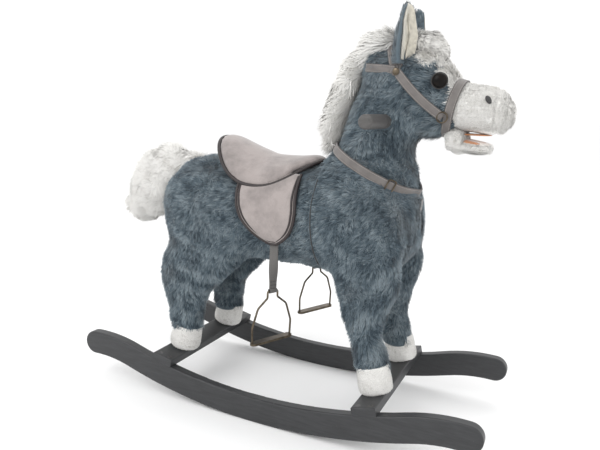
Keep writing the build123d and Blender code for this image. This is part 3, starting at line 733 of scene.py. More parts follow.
MUZZLE_ROWS = [
    (-0.02, 0.50, 0.99, 0.97), (0.32, 0.475, 1.02, 0.95), (0.60, 0.44, 1.03, 0.94), (0.80, 0.42, 0.98, 0.90),
    (0.93, 0.40, 0.80, 0.76), (1.00, 0.39, 0.60, 0.56),
]
JAW_ROWS = [(-0.16, 0.48, 1.06, 1.06), (0.30, 0.36, 1.10, 1.08), (0.78, 0.26, 1.00, 0.98),
            (1.04, 0.24, 0.72, 0.76)]
TAIL_ROWS = [
    (0.05, 0.26, 0.50, 0.46), (0.14, 0.33, 0.80, 0.68), (0.32, 0.45, 0.98, 0.92), (0.62, 0.58, 0.94, 0.90),
    (0.85, 0.66, 0.84, 0.72), (1.10, 0.73, 0.66, 0.52), (1.32, 0.78, 0.46, 0.34),
]
FRONT_LEG_ROWS = [
    (0.00, 0.71, 0.53, 0.90), (0.15, 0.66, 0.52, 0.89), (0.30, 0.58, 0.53, 0.90), (0.52, 0.55, 0.72, 0.97),
    (0.72, 0.56, 0.93, 0.97), (0.95, 0.50, 0.96, 0.92), (1.12, 0.47, 0.96, 0.80), (1.26, 0.46, 0.70, 0.52),
]
REAR_LEG_ROWS = [
    (0.00, 0.31, 0.40, 0.88), (0.20, 0.31, 0.43, 0.91), (0.40, 0.30, 0.60, 0.97), (0.68, 0.43, 0.90, 0.97),
    (0.95, 0.54, 0.86, 0.92), (1.12, 0.55, 0.84, 0.80), (1.26, 0.55, 0.62, 0.52),
]
LEGS = [end + "_" + name for end in ("front", "rear") for name, _ in SIDES]


def shapes():
    """The stuffed bodies under the pile, made once: name to shape."""
    if not SHAPES:
        depth = sizes().pile_depth
        SHAPES["torso"] = Stuffed(rows_in("torso", TORSO_ROWS), "x", depth)
        SHAPES["neck"] = Stuffed(rows_in("neck", NECK_ROWS, "z"), "z", depth)
        SHAPES["head"] = Stuffed(rows_in("head", HEAD_ROWS), "x", depth)
        SHAPES["muzzle"] = Stuffed(rows_in("muzzle", MUZZLE_ROWS), "x", 0.6 * depth)
        for leg in LEGS:
            table = FRONT_LEG_ROWS if "front" in leg else REAR_LEG_ROWS
            SHAPES[leg] = Stuffed(rows_in(leg + "_leg", table, "z"), "z", 0.75 * depth)
    return SHAPES


SHAPES = {}
STRAP_LINES = []


def filleted(grid, *names, soft=0.015, most=0.030):
    """Grid of one body pushed out into soft fillets where others join it.

    The joined surface is where -soft times the log of the sum of exp(-depth / soft) is nothing; each
    point steps along its normal by what is left of that value, up to a limit.
    """
    normals = outward(grid)
    moved = np.zeros(grid.shape[:2])
    start = np.stack([shapes()[name].depth(grid) for name in names])
    near = start.min(0) > -1.6 * soft
    for _ in range(6):
        points = grid + normals * moved[..., None]
        value = -soft * np.log(sum(np.exp(-shapes()[name].depth(points) / soft) for name in names))
        moved = np.clip(moved - 0.7 * np.where(near, np.minimum(value, 0), 0), 0, most)
    return grid + normals * moved[..., None]


def clear_of(points, *names, grow=0.0):
    """Whether points lie outside all the named stuffed bodies."""
    inside = np.zeros(points.shape[:-1], bool)
    for name in names:
        inside |= shapes()[name].holds(points, grow)
    return ~inside


def off_node(points, node, gap):
    """Whether points lie outside a node's box grown by a gap on every side."""
    low, high = box(node)
    return ~((points > low - gap) & (points < high + gap)).all(-1)


def off_straps(points):
    """Whether points lie clear of every strap laid so far: farther from its line than half its width."""
    free = np.ones(len(points), bool)
    for line, reach in STRAP_LINES:
        for part in np.array_split(line, max(1, len(line) // 40)):
            near = np.linalg.norm(points - part.mean(0), axis=1) < reach + np.ptp(part, axis=0).max() + 0.01
            gaps = np.linalg.norm(points[near][:, None] - part[None], axis=2).min(1)
            free[np.flatnonzero(near)[gaps < reach]] = False
    return free


def landing(points, toward, names, grow=0.0, depth=0.16, steps=320, soft=0.002):
    """Where straight lines from points first meet the named bodies: the first inside place of even steps."""
    t = np.linspace(0, depth, steps)
    toward = np.broadcast_to(toward, points.shape)
    line = points[:, None] + toward[:, None] * t[None, :, None]
    hit = -soft * np.log(sum(np.exp(-np.minimum(shapes()[name].depth(line),
                                                0.2) / soft) for name in names)) < grow
    first = np.where(hit.any(1), hit.argmax(1), steps - 1)
    return points + toward * t[first][:, None], hit.any(1)


def wrap(centre, first, second, names, grow, turns, soft=0.002):
    """Loop round the named bodies in the plane of two directions: lines run inwards at each angle."""
    centre = np.asarray(centre, float)
    outward_dir = np.cos(turns)[:, None] * first + np.sin(turns)[:, None] * second
    points, _ = landing(centre + 0.16 * outward_dir, -outward_dir, names, grow, soft=soft)
    return points


def smoothed(path, times, closed=False):
    """Path evened out by averaging each point with its neighbours."""
    path = path.copy()
    for _ in range(times):
        before, after = np.roll(path, 1, 0), np.roll(path, -1, 0)
        even = 0.25 * before + 0.5 * path + 0.25 * after
        if not closed:
            even[0], even[-1] = path[0], path[-1]
        path = even
    return path


def strap(name, path, across, width, thickness, closed=False, ends=0.0):
    """Flat strap: a rounded rectangle carried along a path, with a map in metres along it."""
    path = np.asarray(path, float)
    if closed:
        path = np.concatenate([path, path[:1]])
    along = unit(np.gradient(path, axis=0))
    if closed:
        along[0] = along[-1] = unit(along[0] + along[-1])
    across = unit(np.broadcast_to(across, path.shape) - np.sum(across * along, -1, keepdims=True) * along)
    out = np.cross(along, across)
    w, t = width / 2, thickness / 2
    soft = min(t * 0.7, 0.0008)
    profile = np.array([(-w + soft, -t), (w - soft, -t), (w, -t + soft), (w, t - soft), (w - soft, t),
                        (w / 3, t * 1.06),
                        (-w / 3, t * 1.06), (-w + soft, t), (-w, t - soft), (-w, -t + soft)])
    narrow = np.ones(len(path))
    if ends:
        run = np.concatenate([[0], np.cumsum(np.linalg.norm(np.diff(path, axis=0), axis=1))])
        from_end = np.minimum(run, run[-1] - run)
        narrow = np.where(from_end < ends, np.sqrt(np.clip(1 - (1 - from_end / ends) ** 2, 0.15, 1)), 1.0)
    grid = (path[:, None] + across[:, None] * (profile[:, 0] * narrow[:, None])[..., None]
            + out[:, None] * profile[None, :, 1, None])
    piece = turned_out(skin_mesh(name, grid))
    run = np.concatenate([[0], np.cumsum(np.linalg.norm(np.diff(path, axis=0), axis=1))])
    u = np.concatenate([np.repeat(run, len(profile)), run[[0, -1]]])
    v = np.concatenate([np.tile(profile[:, 0] / width + 0.5, len(path)), [0.5, 0.5]])
    add_map(piece, u, v)
    return piece


def add_map(piece, u, v):
    """UV map from two values on each point."""
    mesh = piece.data
    index = np.zeros(len(mesh.loops), np.int32)
    mesh.loops.foreach_get("vertex_index", index)
    uv = np.stack([u[index], v[index]], 1)
    mesh.uv_layers.new(name="UVMap").data.foreach_set("uv", uv.astype(np.float32).ravel())


def cord_round(name, path, radius, around=10, closed=False, flat=1.0, side=UP):
    """Round cord along a path, closed into a ring if asked."""
    path = np.asarray(path, float)
    if closed:
        path = np.concatenate([path[-2:], path, path[:2]])
    grid = tube_grid(path, radius, radius * flat, side, around)
    if closed:
        grid = grid[2:-2]
        count = len(grid)
        i = np.arange(count * around).reshape(count, around)
        j, k = np.roll(i, -1, 1), np.roll(i, -1, 0)
        quads = np.stack([i, k, np.roll(j, -1, 0), j], -1).reshape(-1, 4)
        return turned_out(mesh_object(name, grid.reshape(-1, 3), [quads]))
    return turned_out(skin_mesh(name, grid))


def joined(name, pieces):
    """Several meshes made into one object."""
    points, faces, offset = [], {}, 0
    for piece in pieces:
        mesh = piece.data
        co = np.zeros(len(mesh.vertices) * 3, np.float32)
        mesh.vertices.foreach_get("co", co)
        points.append(co.reshape(-1, 3))
        for face in mesh.polygons:
            faces.setdefault(len(face.vertices), []).append([v + offset for v in face.vertices])
        offset += len(mesh.vertices)
        bpy.data.objects.remove(piece)
    return mesh_object(name, np.concatenate(points), [np.array(f) for f in faces.values()])


def dome_piece(name, centre, across, up, out, radii, rings=14, around=28, back=0.35):
    """Dome: an ellipsoid cut a little behind its middle, out along one direction."""
    turn = np.linspace(0, 2 * math.pi, around, endpoint=False)
    rise = np.linspace(-back, math.pi / 2 * 0.98, rings)
    ring = np.cos(rise)[:, None, None] * (radii[0] * np.cos(turn)[None, :, None] * across
                                          + radii[1] * np.sin(turn)[None, :, None] * up)
    grid = np.asarray(centre) + ring + (radii[2] * np.sin(rise))[:, None, None] * out
    return turned_out(skin_mesh(name, grid))


# ---- Operators --------------------------------------------------------------
class RH_OT_stage(bpy.types.Operator):
    """Sets the pale floor, the soft lights and the camera."""

    bl_idname = "rocking_horse.stage"
    bl_label = "Stage"

    CAMERA_AT = (0.44702, -0.95038, 0.52551)
    RIGHT = (0.90303, 0.42779, 0.03928)
    UPRIGHT = (-0.11850, 0.16016, 0.97995)
    LENS = 35.85
    SENSOR = 36.0
    FLOOR_REACH = 60.0          # half the floor's side, far enough that its edge isn't seen
    SKY_STRENGTH = 1.12
    AIM = (0.0, 0.0, 0.3)       # where the lamps point
    LAMPS = (                   # name, place, side in metres, power in watts
        ("key", (-0.9, -1.9, 2.2), 1.6, 24.0),
        ("fill", (2.2, -1.2, 1.2), 2.0, 6.0),
        ("top", (0.2, 0.9, 2.6), 1.8, 12.0),
    )

    def lamp(self, name, place, target, size, power):
        """Square area light aimed at a target."""
        light = bpy.data.lights.new(name, "AREA")
        light.size = size
        light.energy = power
        lamp = bpy.data.objects.new(name, light)
        away = unit(np.array(place) - np.array(target))
        right = unit(np.cross(UP, away))
        lamp.matrix_world = Matrix.Translation(place) @ Matrix(np.stack([right, np.cross(away, right), away],
                                                                        1)).to_4x4()
        bpy.context.scene.collection.objects.link(lamp)

    def execute(self, context):
        scene = context.scene
        corner = np.array([(-1, -1, 0), (1, -1, 0), (1, 1, 0), (-1, 1, 0)]) * self.FLOOR_REACH
        floor = mesh_object("floor", corner, [np.array([[0, 1, 2, 3]])], smooth=False)
        white = Look("floor_white", Roughness=0.9, Specular_IOR_Level=0.1)
        white.colour(white.ramp(white.noise(3.0), (0.0, 0.90), (1.0, 0.92)))
        floor.data.materials.append(white.material)
        world = bpy.data.worlds.new("soft_white")
        world.use_nodes = True
        world.node_tree.nodes["Background"].inputs["Color"].default_value = (1.0, 1.0, 1.0, 1.0)
        world.node_tree.nodes["Background"].inputs["Strength"].default_value = self.SKY_STRENGTH
        scene.world = world
        for name, place, size, power in self.LAMPS:
            self.lamp(name, place, self.AIM, size, power)
        camera = bpy.data.cameras.new("camera")
        camera.lens = self.LENS
        camera.sensor_width = self.SENSOR
        view = bpy.data.objects.new("camera", camera)
        right, upright = np.array(self.RIGHT), np.array(self.UPRIGHT)
        turn = Matrix(np.stack([right, upright, np.cross(right, upright)], 1)).to_4x4()
        view.matrix_world = Matrix.Translation(self.CAMERA_AT) @ turn
        scene.collection.objects.link(view)
        scene.camera = view
        scene.view_settings.view_transform = "Standard"
        return {"FINISHED"}


class RH_OT_hard_parts(bpy.types.Operator):
    """Finishes the parts that keep their own shape: rockers, bars, screws, handle, irons and inner frame."""

    bl_idname = "rocking_horse.hard_parts"
    bl_label = "Hard parts"

    FINISH = {
        "rocker_paint": "rocker_paint", "screw_steel": "dark_steel", "pin_steel": "dark_steel",
        "frame_wood": "frame_wood", "handle_paint": "handle_paint", "stirrup_metal": "bronzed_wire",
        "unit_plastic": "unit_plastic",
    }

    def execute(self, context):
        slots = {part["node"]: part["material_slot"] for part in frame["record"]["subparts"]}
        for name, node in NODES.items():
            if slots[name] in self.FINISH:
                node.data.materials.clear()
                node.data.materials.append(look(self.FINISH[slots[name]]))
        return {"FINISHED"}


class RH_OT_straps(bpy.types.Operator):
    """Lays the bridle and the breast strap on the horse, before the pile, which parts round them."""

    bl_idname = "rocking_horse.straps"
    bl_label = "Bridle and breast strap"

    def lay(self, name, path, across, width, closed=False, nodes=(), ends=0.0):
        """Makes a strap and remembers its line, so that the pile keeps clear of it."""
        STRAP_LINES.append((np.asarray(path), width / 2 - 0.0012))
        piece = strap(name, path, across, width, sizes().strap_thickness, closed, ends)
        return dress(piece, "horse", "strap_suede", look("strap_suede"), *nodes)

    def ring_of(self, name, centre, out, up, radius, wire):
        """Wire ring lying on the strap: a small tube round a circle."""
        turn = np.linspace(0, 2 * math.pi, 40, endpoint=False)
        side = np.cross(up, out)
        path = centre + radius * (np.cos(turn)[:, None] * side + np.sin(turn)[:, None] * up)
        return cord_round(name, path, wire, 10, True, side=out)

    def execute(self, context):
        width = sizes().strap_width
        above = sizes().pile_depth * 0.75
        face = ("head", "muzzle", "neck")
        low, high = box("noseband")
        slant = unit(np.array([high[0] - 0.007, 0, high[2]]) - np.array([low[0] + 0.007, 0, low[2]]))
        centre = np.array([(low[0] + high[0]) / 2, 0, (low[2] + high[2]) / 2])
        turns = np.linspace(0, 2 * math.pi, 120, endpoint=False)
        plane = np.cross(LEFT, slant)
        nose = smoothed(wrap(centre, LEFT, slant, ("head", "muzzle"), above * 0.7, turns), 4, True)
        self.lay("noseband_strap", nose, plane, width, True, ["noseband"])
        low, high = box("cheek_straps")
        start = np.array([low[0] + 0.006, 0, high[2] - 0.006])
        end = np.array([high[0] - 0.003, 0, low[2] + 0.005])
        steps = np.linspace(0, 1, 36)[:, None]
        cheeks, metal = [], []
        for name, side in SIDES:
            line = start + (end - start) * steps + side * 0.12 * LEFT
            line[:, 2] -= 0.004 * np.sin(steps[:, 0] * math.pi)
            path, _ = landing(line, -side * LEFT, face, above)
            path = smoothed(path, 6)
            across = unit(np.cross(unit(np.gradient(path, axis=0)), side * LEFT))
            cheeks.append(self.lay(name + "_cheek_strap", path, across, width))
            out = side * LEFT
            top, bottom = path[0] + 0.0022 * out, path[-1] + 0.0030 * out
            metal += [self.ring_of("ring_" + name, bottom, out, UP, 0.0078, 0.0012)]
            metal += [self.ring_of("loop_" + name, top + 0.001 * out - 0.001 * UP, out, UP, 0.0042, 0.0011)]
            metal += [dome_piece("rivet_" + name, top + 0.0006 * out, AHEAD, UP, out,
                                 (0.0052, 0.0052, 0.0022))]
        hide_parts("cheek_straps")
        dress(joined("bridle_metal", metal), "horse", "antique_brass", look("bronzed_wire"), "bridle_rings",
              "bridle_rosettes")
        low, high = box("bridle_rosettes")
        hub = np.array([(low[0] + high[0]) / 2, 0, (low[2] + high[2]) / 2])
        half_turn = np.linspace(-0.04 * math.pi, 1.04 * math.pi, 90)
        for name, node, lean in (("brow_strap", "browband", (0.40, 0.92)),
                                 ("poll_strap", "crown_strap", (-0.42, 0.91))):
            rise = np.array([lean[0], 0, lean[1]])
            path = smoothed(wrap(hub, LEFT, rise, ("head", "neck"), above, half_turn), 5)
            self.lay(name, path, np.cross(LEFT, rise), width * 0.95, False, [node])
        back = np.linspace(0, 1, 24)[:, None]
        for name, side in SIDES:
            line = hub + back * np.array([-0.052, 0, 0.004]) + side * 0.12 * LEFT
            path, _ = landing(line, -side * LEFT, ("head", "neck"), above)
            self.lay(name + "_throat_strap", smoothed(path, 4), UP, width * 0.95)
        self.breast(context, above)
        return {"FINISHED"}

    def breast(self, context, above):
        """Breast strap round the chest in a slanted plane, its slides, and the tab hanging at the front."""
        width = sizes().breast_width
        low, high = box("breast_strap")
        rear = np.array([low[0], 0, high[2] - 0.010])
        front = np.array([high[0], 0, low[2] + 0.010])
        slope = unit(front - rear)
        turns = np.linspace(0, 2 * math.pi, 200, endpoint=False)
        path = smoothed(wrap((rear + front) / 2, slope, LEFT, ("neck", "torso"), above, turns, 0.010), 8,
                        True)
        self.lay("chest_strap", path, np.cross(slope, LEFT), width, True, ["breast_strap"])
        low, high = box("chest_tab")
        drop = np.linspace(high[2], low[2], 20)
        line = np.stack([np.full(20, high[0] + 0.06), np.zeros(20), drop], 1)
        tab, _ = landing(line, -AHEAD, ("neck", "torso"), above, soft=0.010)
        self.lay("chest_tab_strap", smoothed(tab, 4), LEFT, width * 0.9, False, ["chest_tab"], ends=0.006)
        low, high = box("breast_slides")
        slides = []
        for name, side in SIDES:
            target = np.array([(low[0] + high[0]) / 2, side * (high[1] - 0.006), (low[2] + high[2]) / 2])
            k = np.linalg.norm(path - target, axis=1).argmin()
            spot = path[k]
            run = unit(path[(k + 1) % len(path)] - path[k - 1])
            lift = np.cross(slope, LEFT)
            out = unit(np.cross(run, lift)) * 1.0
            out = out if out[1] * side > 0 else -out
            wide, tall = 0.0062, width / 2 + 0.0022
            turn = np.linspace(0, 2 * math.pi, 48, endpoint=False)
            s, c = np.sin(turn), np.cos(turn)
            s, c = np.sign(s) * np.abs(s) ** 0.35, np.sign(c) * np.abs(c) ** 0.35
            loop = spot + 0.0022 * out + wide * c[:, None] * run + tall * s[:, None] * lift
            slides.append(cord_round("slide_" + name, loop, 0.0012, 8, True, side=out))
        dress(joined("breast_slide_frames", slides), "horse", "antique_brass", look("bronzed_wire"),
              "breast_slides")


def seat_top(x, y):
    """Height of the saddle's top: its ridge line by smooth rows, falling off to the sides as an ellipse."""
    low, high = box("saddle_seat")
    share = np.clip((x - low[0]) / (high[0] - low[0]), 0, 1)
    ridge = np.interp(share, SADDLE_LINE[:, 0], SADDLE_LINE[:, 1])
    half = (high[1] - low[1]) / 2 * 1.22
    base = low[2] - 0.062
    top = low[2] + ridge * (high[2] - low[2])
    return base + (top - base) * np.sqrt(np.clip(1 - (y / half) ** 2, 0.0, 1))


SADDLE_LINE = curve_through([(0.0, 1.00), (0.10, 0.94), (0.26, 0.76), (0.42, 0.60), (0.53, 0.52),
                             (0.76, 0.54),
                             (0.92, 0.60), (1.0, 0.56)], 96)


class RH_OT_saddle(bpy.types.Operator):
    """Makes the padded seat by cloth simulation, the hanging flaps and all the piping."""

    bl_idname = "rocking_horse.saddle"
    bl_label = "Saddle"

    VOXEL = 0.005               # side of a cell when the pad is remeshed
    PRESSURE = 3.0
    STRETCH = 25.0              # stiffness of the suede in tension and in compression
    BENDING = 1.5

    def outline(self, turn):
        """Edge of the seat in plan: a rounded rectangle, narrower at the pommel."""
        low, high = box("saddle_seat")
        middle, half = (low + high) / 2, (high - low) / 2
        c, s = np.cos(turn), np.sin(turn)
        x = middle[0] + half[0] * np.sign(c) * np.abs(c) ** 0.80
        narrow = 1 - 0.42 * np.clip(c, 0, 1) ** 2.2 - 0.10 * np.clip(-c, 0, 1) ** 2
        y = 0.94 * half[1] * np.sign(s) * np.abs(s) ** 0.76 * narrow
        return x, y

    def execute(self, context):
        rings, around = 22, 96
        turn = np.linspace(0, 2 * math.pi, around, endpoint=False)
        edge_x, edge_y = self.outline(turn)
        low, high = box("saddle_seat")
        middle = (low + high) / 2
        share = np.sin(np.linspace(0.04, 1, rings) * math.pi / 2)[:, None]
        x = middle[0] + (edge_x - middle[0]) * share
        y = edge_y * share
        top = seat_top(x, y)
        probe = np.stack([x, y, np.full_like(x, high[2] + 0.02)], -1).reshape(-1, 3)
        under, _ = landing(probe, -UP, ("torso",), sizes().pile_depth * 0.55, 0.2, 400)
        under = under[:, 2].reshape(x.shape)
        rim = np.sqrt(np.clip(1 - share**8, 0, 1))
        thick = np.maximum(top - under, 0.010)
        stand = 0.30 + 0.62 * np.clip(-np.cos(turn), 0, 1)[None, :] ** 1.6 + 0.34 * np.clip(np.cos(turn), 0,
                                                                                            1)[None, :] ** 2
        upper = under + 0.0035 + (thick - 0.0035) * (stand + (1 - stand) * rim)
        lower = under.copy()
        grid = np.concatenate([np.stack([x, y, upper], -1), np.stack([x, y, lower], -1)[::-1]])
        seat = turned_out(skin_mesh("saddle_seat_pad", grid))
        self.puff(context, seat)
        dress(seat, "horse", "saddle_suede", look("saddle_suede"), "saddle_seat")
        edge = np.stack([edge_x, edge_y * 1.012, upper[-1] - 0.0015], -1)
        edge[:, :2] = middle[:2] + (edge[:, :2] - middle[:2]) * 1.035
        piping = [cord_round("seat_edge", smoothed(edge, 3, True), sizes().piping_radius * 1.25, 10, True)]
        for name, side in SIDES:
            piping += self.flap(name, side)
        dress(joined("saddle_piping", piping), "horse", "saddle_suede", look("dark_piping"))
        return {"FINISHED"}

    def puff(self, context, piece):
        """Swells a pad as stuffing does: remesh, cloth under pressure, capped movement, one subdivision."""
        remesh = piece.modifiers.new("remesh", "REMESH")
        remesh.mode = "VOXEL"
        remesh.voxel_size = self.VOXEL
        self.apply(context, piece)
        rest = self.points(piece)
        cloth = piece.modifiers.new("cloth", "CLOTH")
        cloth.settings.use_pressure = True
        cloth.settings.uniform_pressure_force = self.PRESSURE
        cloth.settings.effector_weights.gravity = 0.0
        cloth.settings.tension_stiffness = self.STRETCH
        cloth.settings.compression_stiffness = self.STRETCH
        cloth.settings.bending_stiffness = self.BENDING
        for step in range(1, sizes().sim_frames + 1):
            context.scene.frame_set(step)
        self.apply(context, piece)
        context.scene.frame_set(1)
        moved = self.points(piece) - rest
        far = np.linalg.norm(moved, axis=1, keepdims=True)
        cap = sizes().seat_puff
        moved *= np.minimum(1, cap / np.maximum(far, 1e-9))
        _, hit = landing(rest + moved, -UP, ("torso",), 0.0, 0.001, 2)
        moved[hit] = 0
        piece.data.vertices.foreach_set("co", (rest + moved).astype(np.float32).ravel())
        smooth = piece.modifiers.new("smooth", "SUBSURF")
        smooth.levels = smooth.render_levels = 1
        self.apply(context, piece)
        piece.data.polygons.foreach_set("use_smooth", np.ones(len(piece.data.polygons), bool))

    def points(self, piece):
        """A piece's points as an array."""
        co = np.zeros(len(piece.data.vertices) * 3, np.float32)
        piece.data.vertices.foreach_get("co", co)
        return co.reshape(-1, 3).astype(float)

    def apply(self, context, piece):
        """Puts the piece's modifiers into its mesh."""
        context.view_layer.update()
        done = piece.evaluated_get(context.evaluated_depsgraph_get())
        mesh = bpy.data.meshes.new_from_object(done)
        piece.modifiers.clear()
        piece.data = mesh

    def flap(self, name, side):
        """One flap: a curved sheet with rounded tip, its two rows of piping round the edge."""
        node = name + "_saddle_flap"
        low, high = box(node)
        drop = np.linspace(0, 1, 44)
        half = np.interp(drop, [0, 0.28, 0.5, 0.68, 0.82, 0.93, 1.0],
                         [0.50, 0.50, 0.49, 0.43, 0.33, 0.20, 0.06])
        centre = np.interp(drop, [0, 0.3, 0.6, 1.0], [0.37, 0.41, 0.48, 0.58])
        half = smoothed(half[:, None], 4)[:, 0]
        span = high[0] - low[0]
        across = np.linspace(-1, 1, 30)
        x = low[0] + span * (centre[:, None] + half[:, None] * across)
        z = np.repeat((high[2] + 0.012 - drop * (high[2] + 0.012 - low[2]))[:, None], 30, 1)
        line = np.stack([x, np.full_like(x, side * (abs(high[1] if side > 0 else low[1]) + 0.03)), z],
                        -1).reshape(-1, 3)
        rest, _ = landing(line, -side * LEFT, ("torso",), sizes().pile_depth + 0.0035, 0.1, 500)
        y = smoothed(rest.reshape(44, 30, 3)[..., 1], 3)
        y = smoothed(y.T, 3).T
        sheet = np.stack([x, y, z], -1)
        normal = np.cross(np.gradient(sheet, axis=1), np.gradient(sheet, axis=0))
        normal = unit(normal)
        normal *= np.sign(normal[..., 1:2]) * side
        thick = sizes().flap_thickness / 2
        swell = thick * (0.55 + 0.9 * np.sqrt(np.clip((1 - across**4)[None] * (1 - drop**6)[:, None], 0, 1)))
        front, back = sheet + normal * swell[..., None], sheet - normal * thick * 0.6
        ring = np.concatenate([front, back[:, ::-1]], 1)
        piece = turned_out(skin_mesh(node + "_sheet", ring))
        dress(piece, "horse", "saddle_suede", look("saddle_suede"), node)
        edge = np.concatenate([sheet[:, 0], sheet[-1, 1:-1], sheet[::-1, -1]])
        lift = np.concatenate([normal[:, 0], normal[-1, 1:-1], normal[::-1, -1]])
        edge = smoothed(edge, 3)
        inset = np.array([sheet[:, 15].mean(0)])
        inward = unit(inset - edge)
        outer = cord_round(node + "_outer", edge + lift * 0.0006, sizes().piping_radius)
        inner = cord_round(node + "_inner", edge + inward * 0.0055 + lift * thick * 1.3,
                           sizes().piping_radius * 0.8)
        return [outer, inner]


def saddle_clear(points):
    """Whether points lie clear of what the seat covers: outside its plan, or below its edge."""
    low, high = box("saddle_seat")
    middle, half = (low + high) / 2, (high - low) / 2 - 0.004
    covered = ((points[:, 0] - middle[0]) / half[0]) ** 4 + (points[:, 1] / half[1]) ** 4 < 1
    return ~(covered & (points[:, 2] > low[2] + 0.004))


def flap_clear(points):
    """Whether points lie clear of what the flaps cover, on either side of the barrel."""
    low, high = box("left_saddle_flap")
    share = np.clip((high[2] - points[:, 2]) / (high[2] - low[2]), 0, 1)
    half = 0.5 * (high[0] - low[0]) * np.interp(share, [0, 0.5, 0.8, 1.0], [0.9, 0.85, 0.5, 0.1])
    centre = (low[0] + high[0]) / 2 + 0.008 * share
    return ~((np.abs(points[:, 0] - centre) < half) & (points[:, 2] > low[2]) & (points[:,
                                                                                        2] < high[2] + 0.02))


class RH_OT_body(bpy.types.Operator):
    """Covers the torso, neck, legs and hooves with plush."""

    bl_idname = "rocking_horse.body"
    bl_label = "Body plush"

    SEAM = (0.066, 0.080)       # x of the seam behind the shoulder, at its top and at its foot
    PARTING = 0.0034            # half the width of the gap in the pile along it
    HOOF_LEAN = 12.3            # degrees that a boot leans with its leg

    def seam_shade(self, x_top, x_low):
        """Pile keeper that leaves a narrow parting along the seam behind the shoulder."""
        low, high = box("torso")

        def parted(points):
            share = np.clip((high[2] - points[:, 2]) / (high[2] - low[2]), 0, 1)
            line = x_top + (x_low - x_top) * share**2
            return np.abs(points[:, 0] - line) > self.PARTING

        return parted

    def execute(self, context):
        every = shapes()
        torso = every["torso"].grid(64, 80, (0.010, 0.010))
        torso = filleted(torso, "torso", "neck", *LEGS)
        torso += outward(torso) * (0.0022 * ripple(torso, 0.06, 3))[..., None]
        parted = self.seam_shade(*self.SEAM)
        legs = [name for name in every if name in LEGS]
        plush("torso_cloth", torso, "horse", "grey_plush", look("grey_plush"), ["torso"],
              lambda p, n: np.stack([np.full(len(p), -0.75), 0 * p[:, 0], np.full(len(p), -0.65)], -1), 21,
              keep=lambda p: clear_of(p, "neck", *legs, grow=-0.004) & saddle_clear(p) & flap_clear(p)
              & off_straps(p) & parted(p) & off_node(p, "tail_lever", 0.014))
        # Painted shade: dark cords in the parting behind the shoulders stand in for the shadow in the seam's
        # groove.
        self.painted_parting_shade(*self.SEAM)
        neck = every["neck"].grid(40, 64)
        neck = filleted(neck, "neck", "torso", "head", soft=0.008)
        neck += outward(neck) * (0.0018 * ripple(neck, 0.05, 5))[..., None]
        plush("neck_cloth", neck, "horse", "grey_plush", look("grey_plush"), ["neck"], (-0.45, 0, -0.9), 22,
              keep=lambda p: clear_of(p, "torso", "head") & off_straps(p) & self.off_handle(p))
        for k, leg in enumerate(LEGS):
            grid = filleted(every[leg].grid(44, 48), leg, "torso")
            grid += outward(grid) * (0.0015 * ripple(grid, 0.04, 7 + k))[..., None]
            plush(leg + "_leg_cloth", grid, "horse", "grey_plush", look("grey_plush"), [leg + "_leg"],
                  (0.0, 0, -1.0),
                  30 + k, keep=lambda p: clear_of(p, "torso",
                                                  grow=-0.004) & (p[:, 2] > box(leg + "_leg")[0][2] + 0.008))
            self.hoof(leg, k)
        return {"FINISHED"}

    def painted_parting_shade(self, x_top, x_low):
        """Painted shade: dark thread cords lying in the parting behind each shoulder, where the seam's groove is
        shaded.
        """
        low, high = box("torso")
        drop = np.linspace(0.16, 0.86, 60)
        rows = []
        for _, side in SIDES:
            line = np.stack([x_top + (x_low - x_top) * drop**2, np.full(60, side * 0.13),
                             high[2] - drop * (high[2] - low[2])], 1)
            path, _ = landing(line, -side * LEFT, ("torso", "neck", *LEGS), 0.0035, soft=0.015)
            # Painted shade: a near-black cord lying in the parting.
            rows.append(cord_round("painted_parting_shade", smoothed(path, 4), 0.0009, 8))
        dress(joined("parting_shade_cords", rows), "horse", "grey_plush", look("dark_thread"))

    def off_handle(self, points):
        """Whether points lie clear of the handle."""
        low, high = box("handlebar")
        middle = (low + high) / 2
        gap = np.hypot(points[:, 0] - middle[0], points[:, 2] - middle[2])
        return gap > (high[2] - low[2]) / 2 + 0.002

    def hoof(self, leg, k):
        """White boot of a leg: a leaning drum with soft corners and a seam down its front and its back."""
        node = leg + "_hoof"
        low, high = box(node)
        radius = (high[1] - low[1]) / 2
        lean = math.radians(self.HOOF_LEAN) * (1 if "front" in leg else -1)
        axis = np.array([-math.sin(lean), 0, math.cos(lean)])
        ahead = np.array([math.cos(lean), 0, math.sin(lean)])
        base_x = (high[0] - radius * math.cos(lean)) if lean > 0 else (low[0] + radius * math.cos(lean))
        base = np.array([base_x, (low[1] + high[1]) / 2, low[2] + radius * math.sin(abs(lean))])
        height = np.array([0.0004, 0.001, 0.003, 0.006, 0.012, 0.020, 0.030, 0.038, 0.044])
        swell = np.array([0.72, 0.88, 0.955, 0.985, 1.0, 0.985, 0.955, 0.94, 0.93])
        dense = np.linspace(0, 1, 26)
        height, swell = (np.interp(dense, np.linspace(0, 1, 9), q) for q in (height, swell))
        turn = np.linspace(0, 2 * math.pi, 64, endpoint=False)
        dent = 1 - 0.030 * np.exp(-(((turn - math.pi) / 0.10) ** 2)) - 0.012 * np.exp(-((turn / 0.06) ** 2))
        ring = np.cos(turn)[:, None] * ahead * 1.02 + np.sin(turn)[:, None] * LEFT
        grid = base + height[:, None, None] * axis + (radius - 0.0025) * swell[:, None,
                                                                               None] * (ring * dent[:, None])
        cloth = dress(backing(node + "_cloth", grid, 0.8, 0.7), "horse", "white_plush", look("white_pile"),
                      node)
        tufts = pile(node + "_pile", grid[3:], look("white_pile"), (0, 0, -1.0), 60 + k, long=0.0030,
                     wide=0.0011,
                     area=1.5, lift=0.35, swirl=0.3, clump=0.003, gather=0.15, tone=0.3)
        dress(tufts, "horse", "white_plush", look("white_pile"))


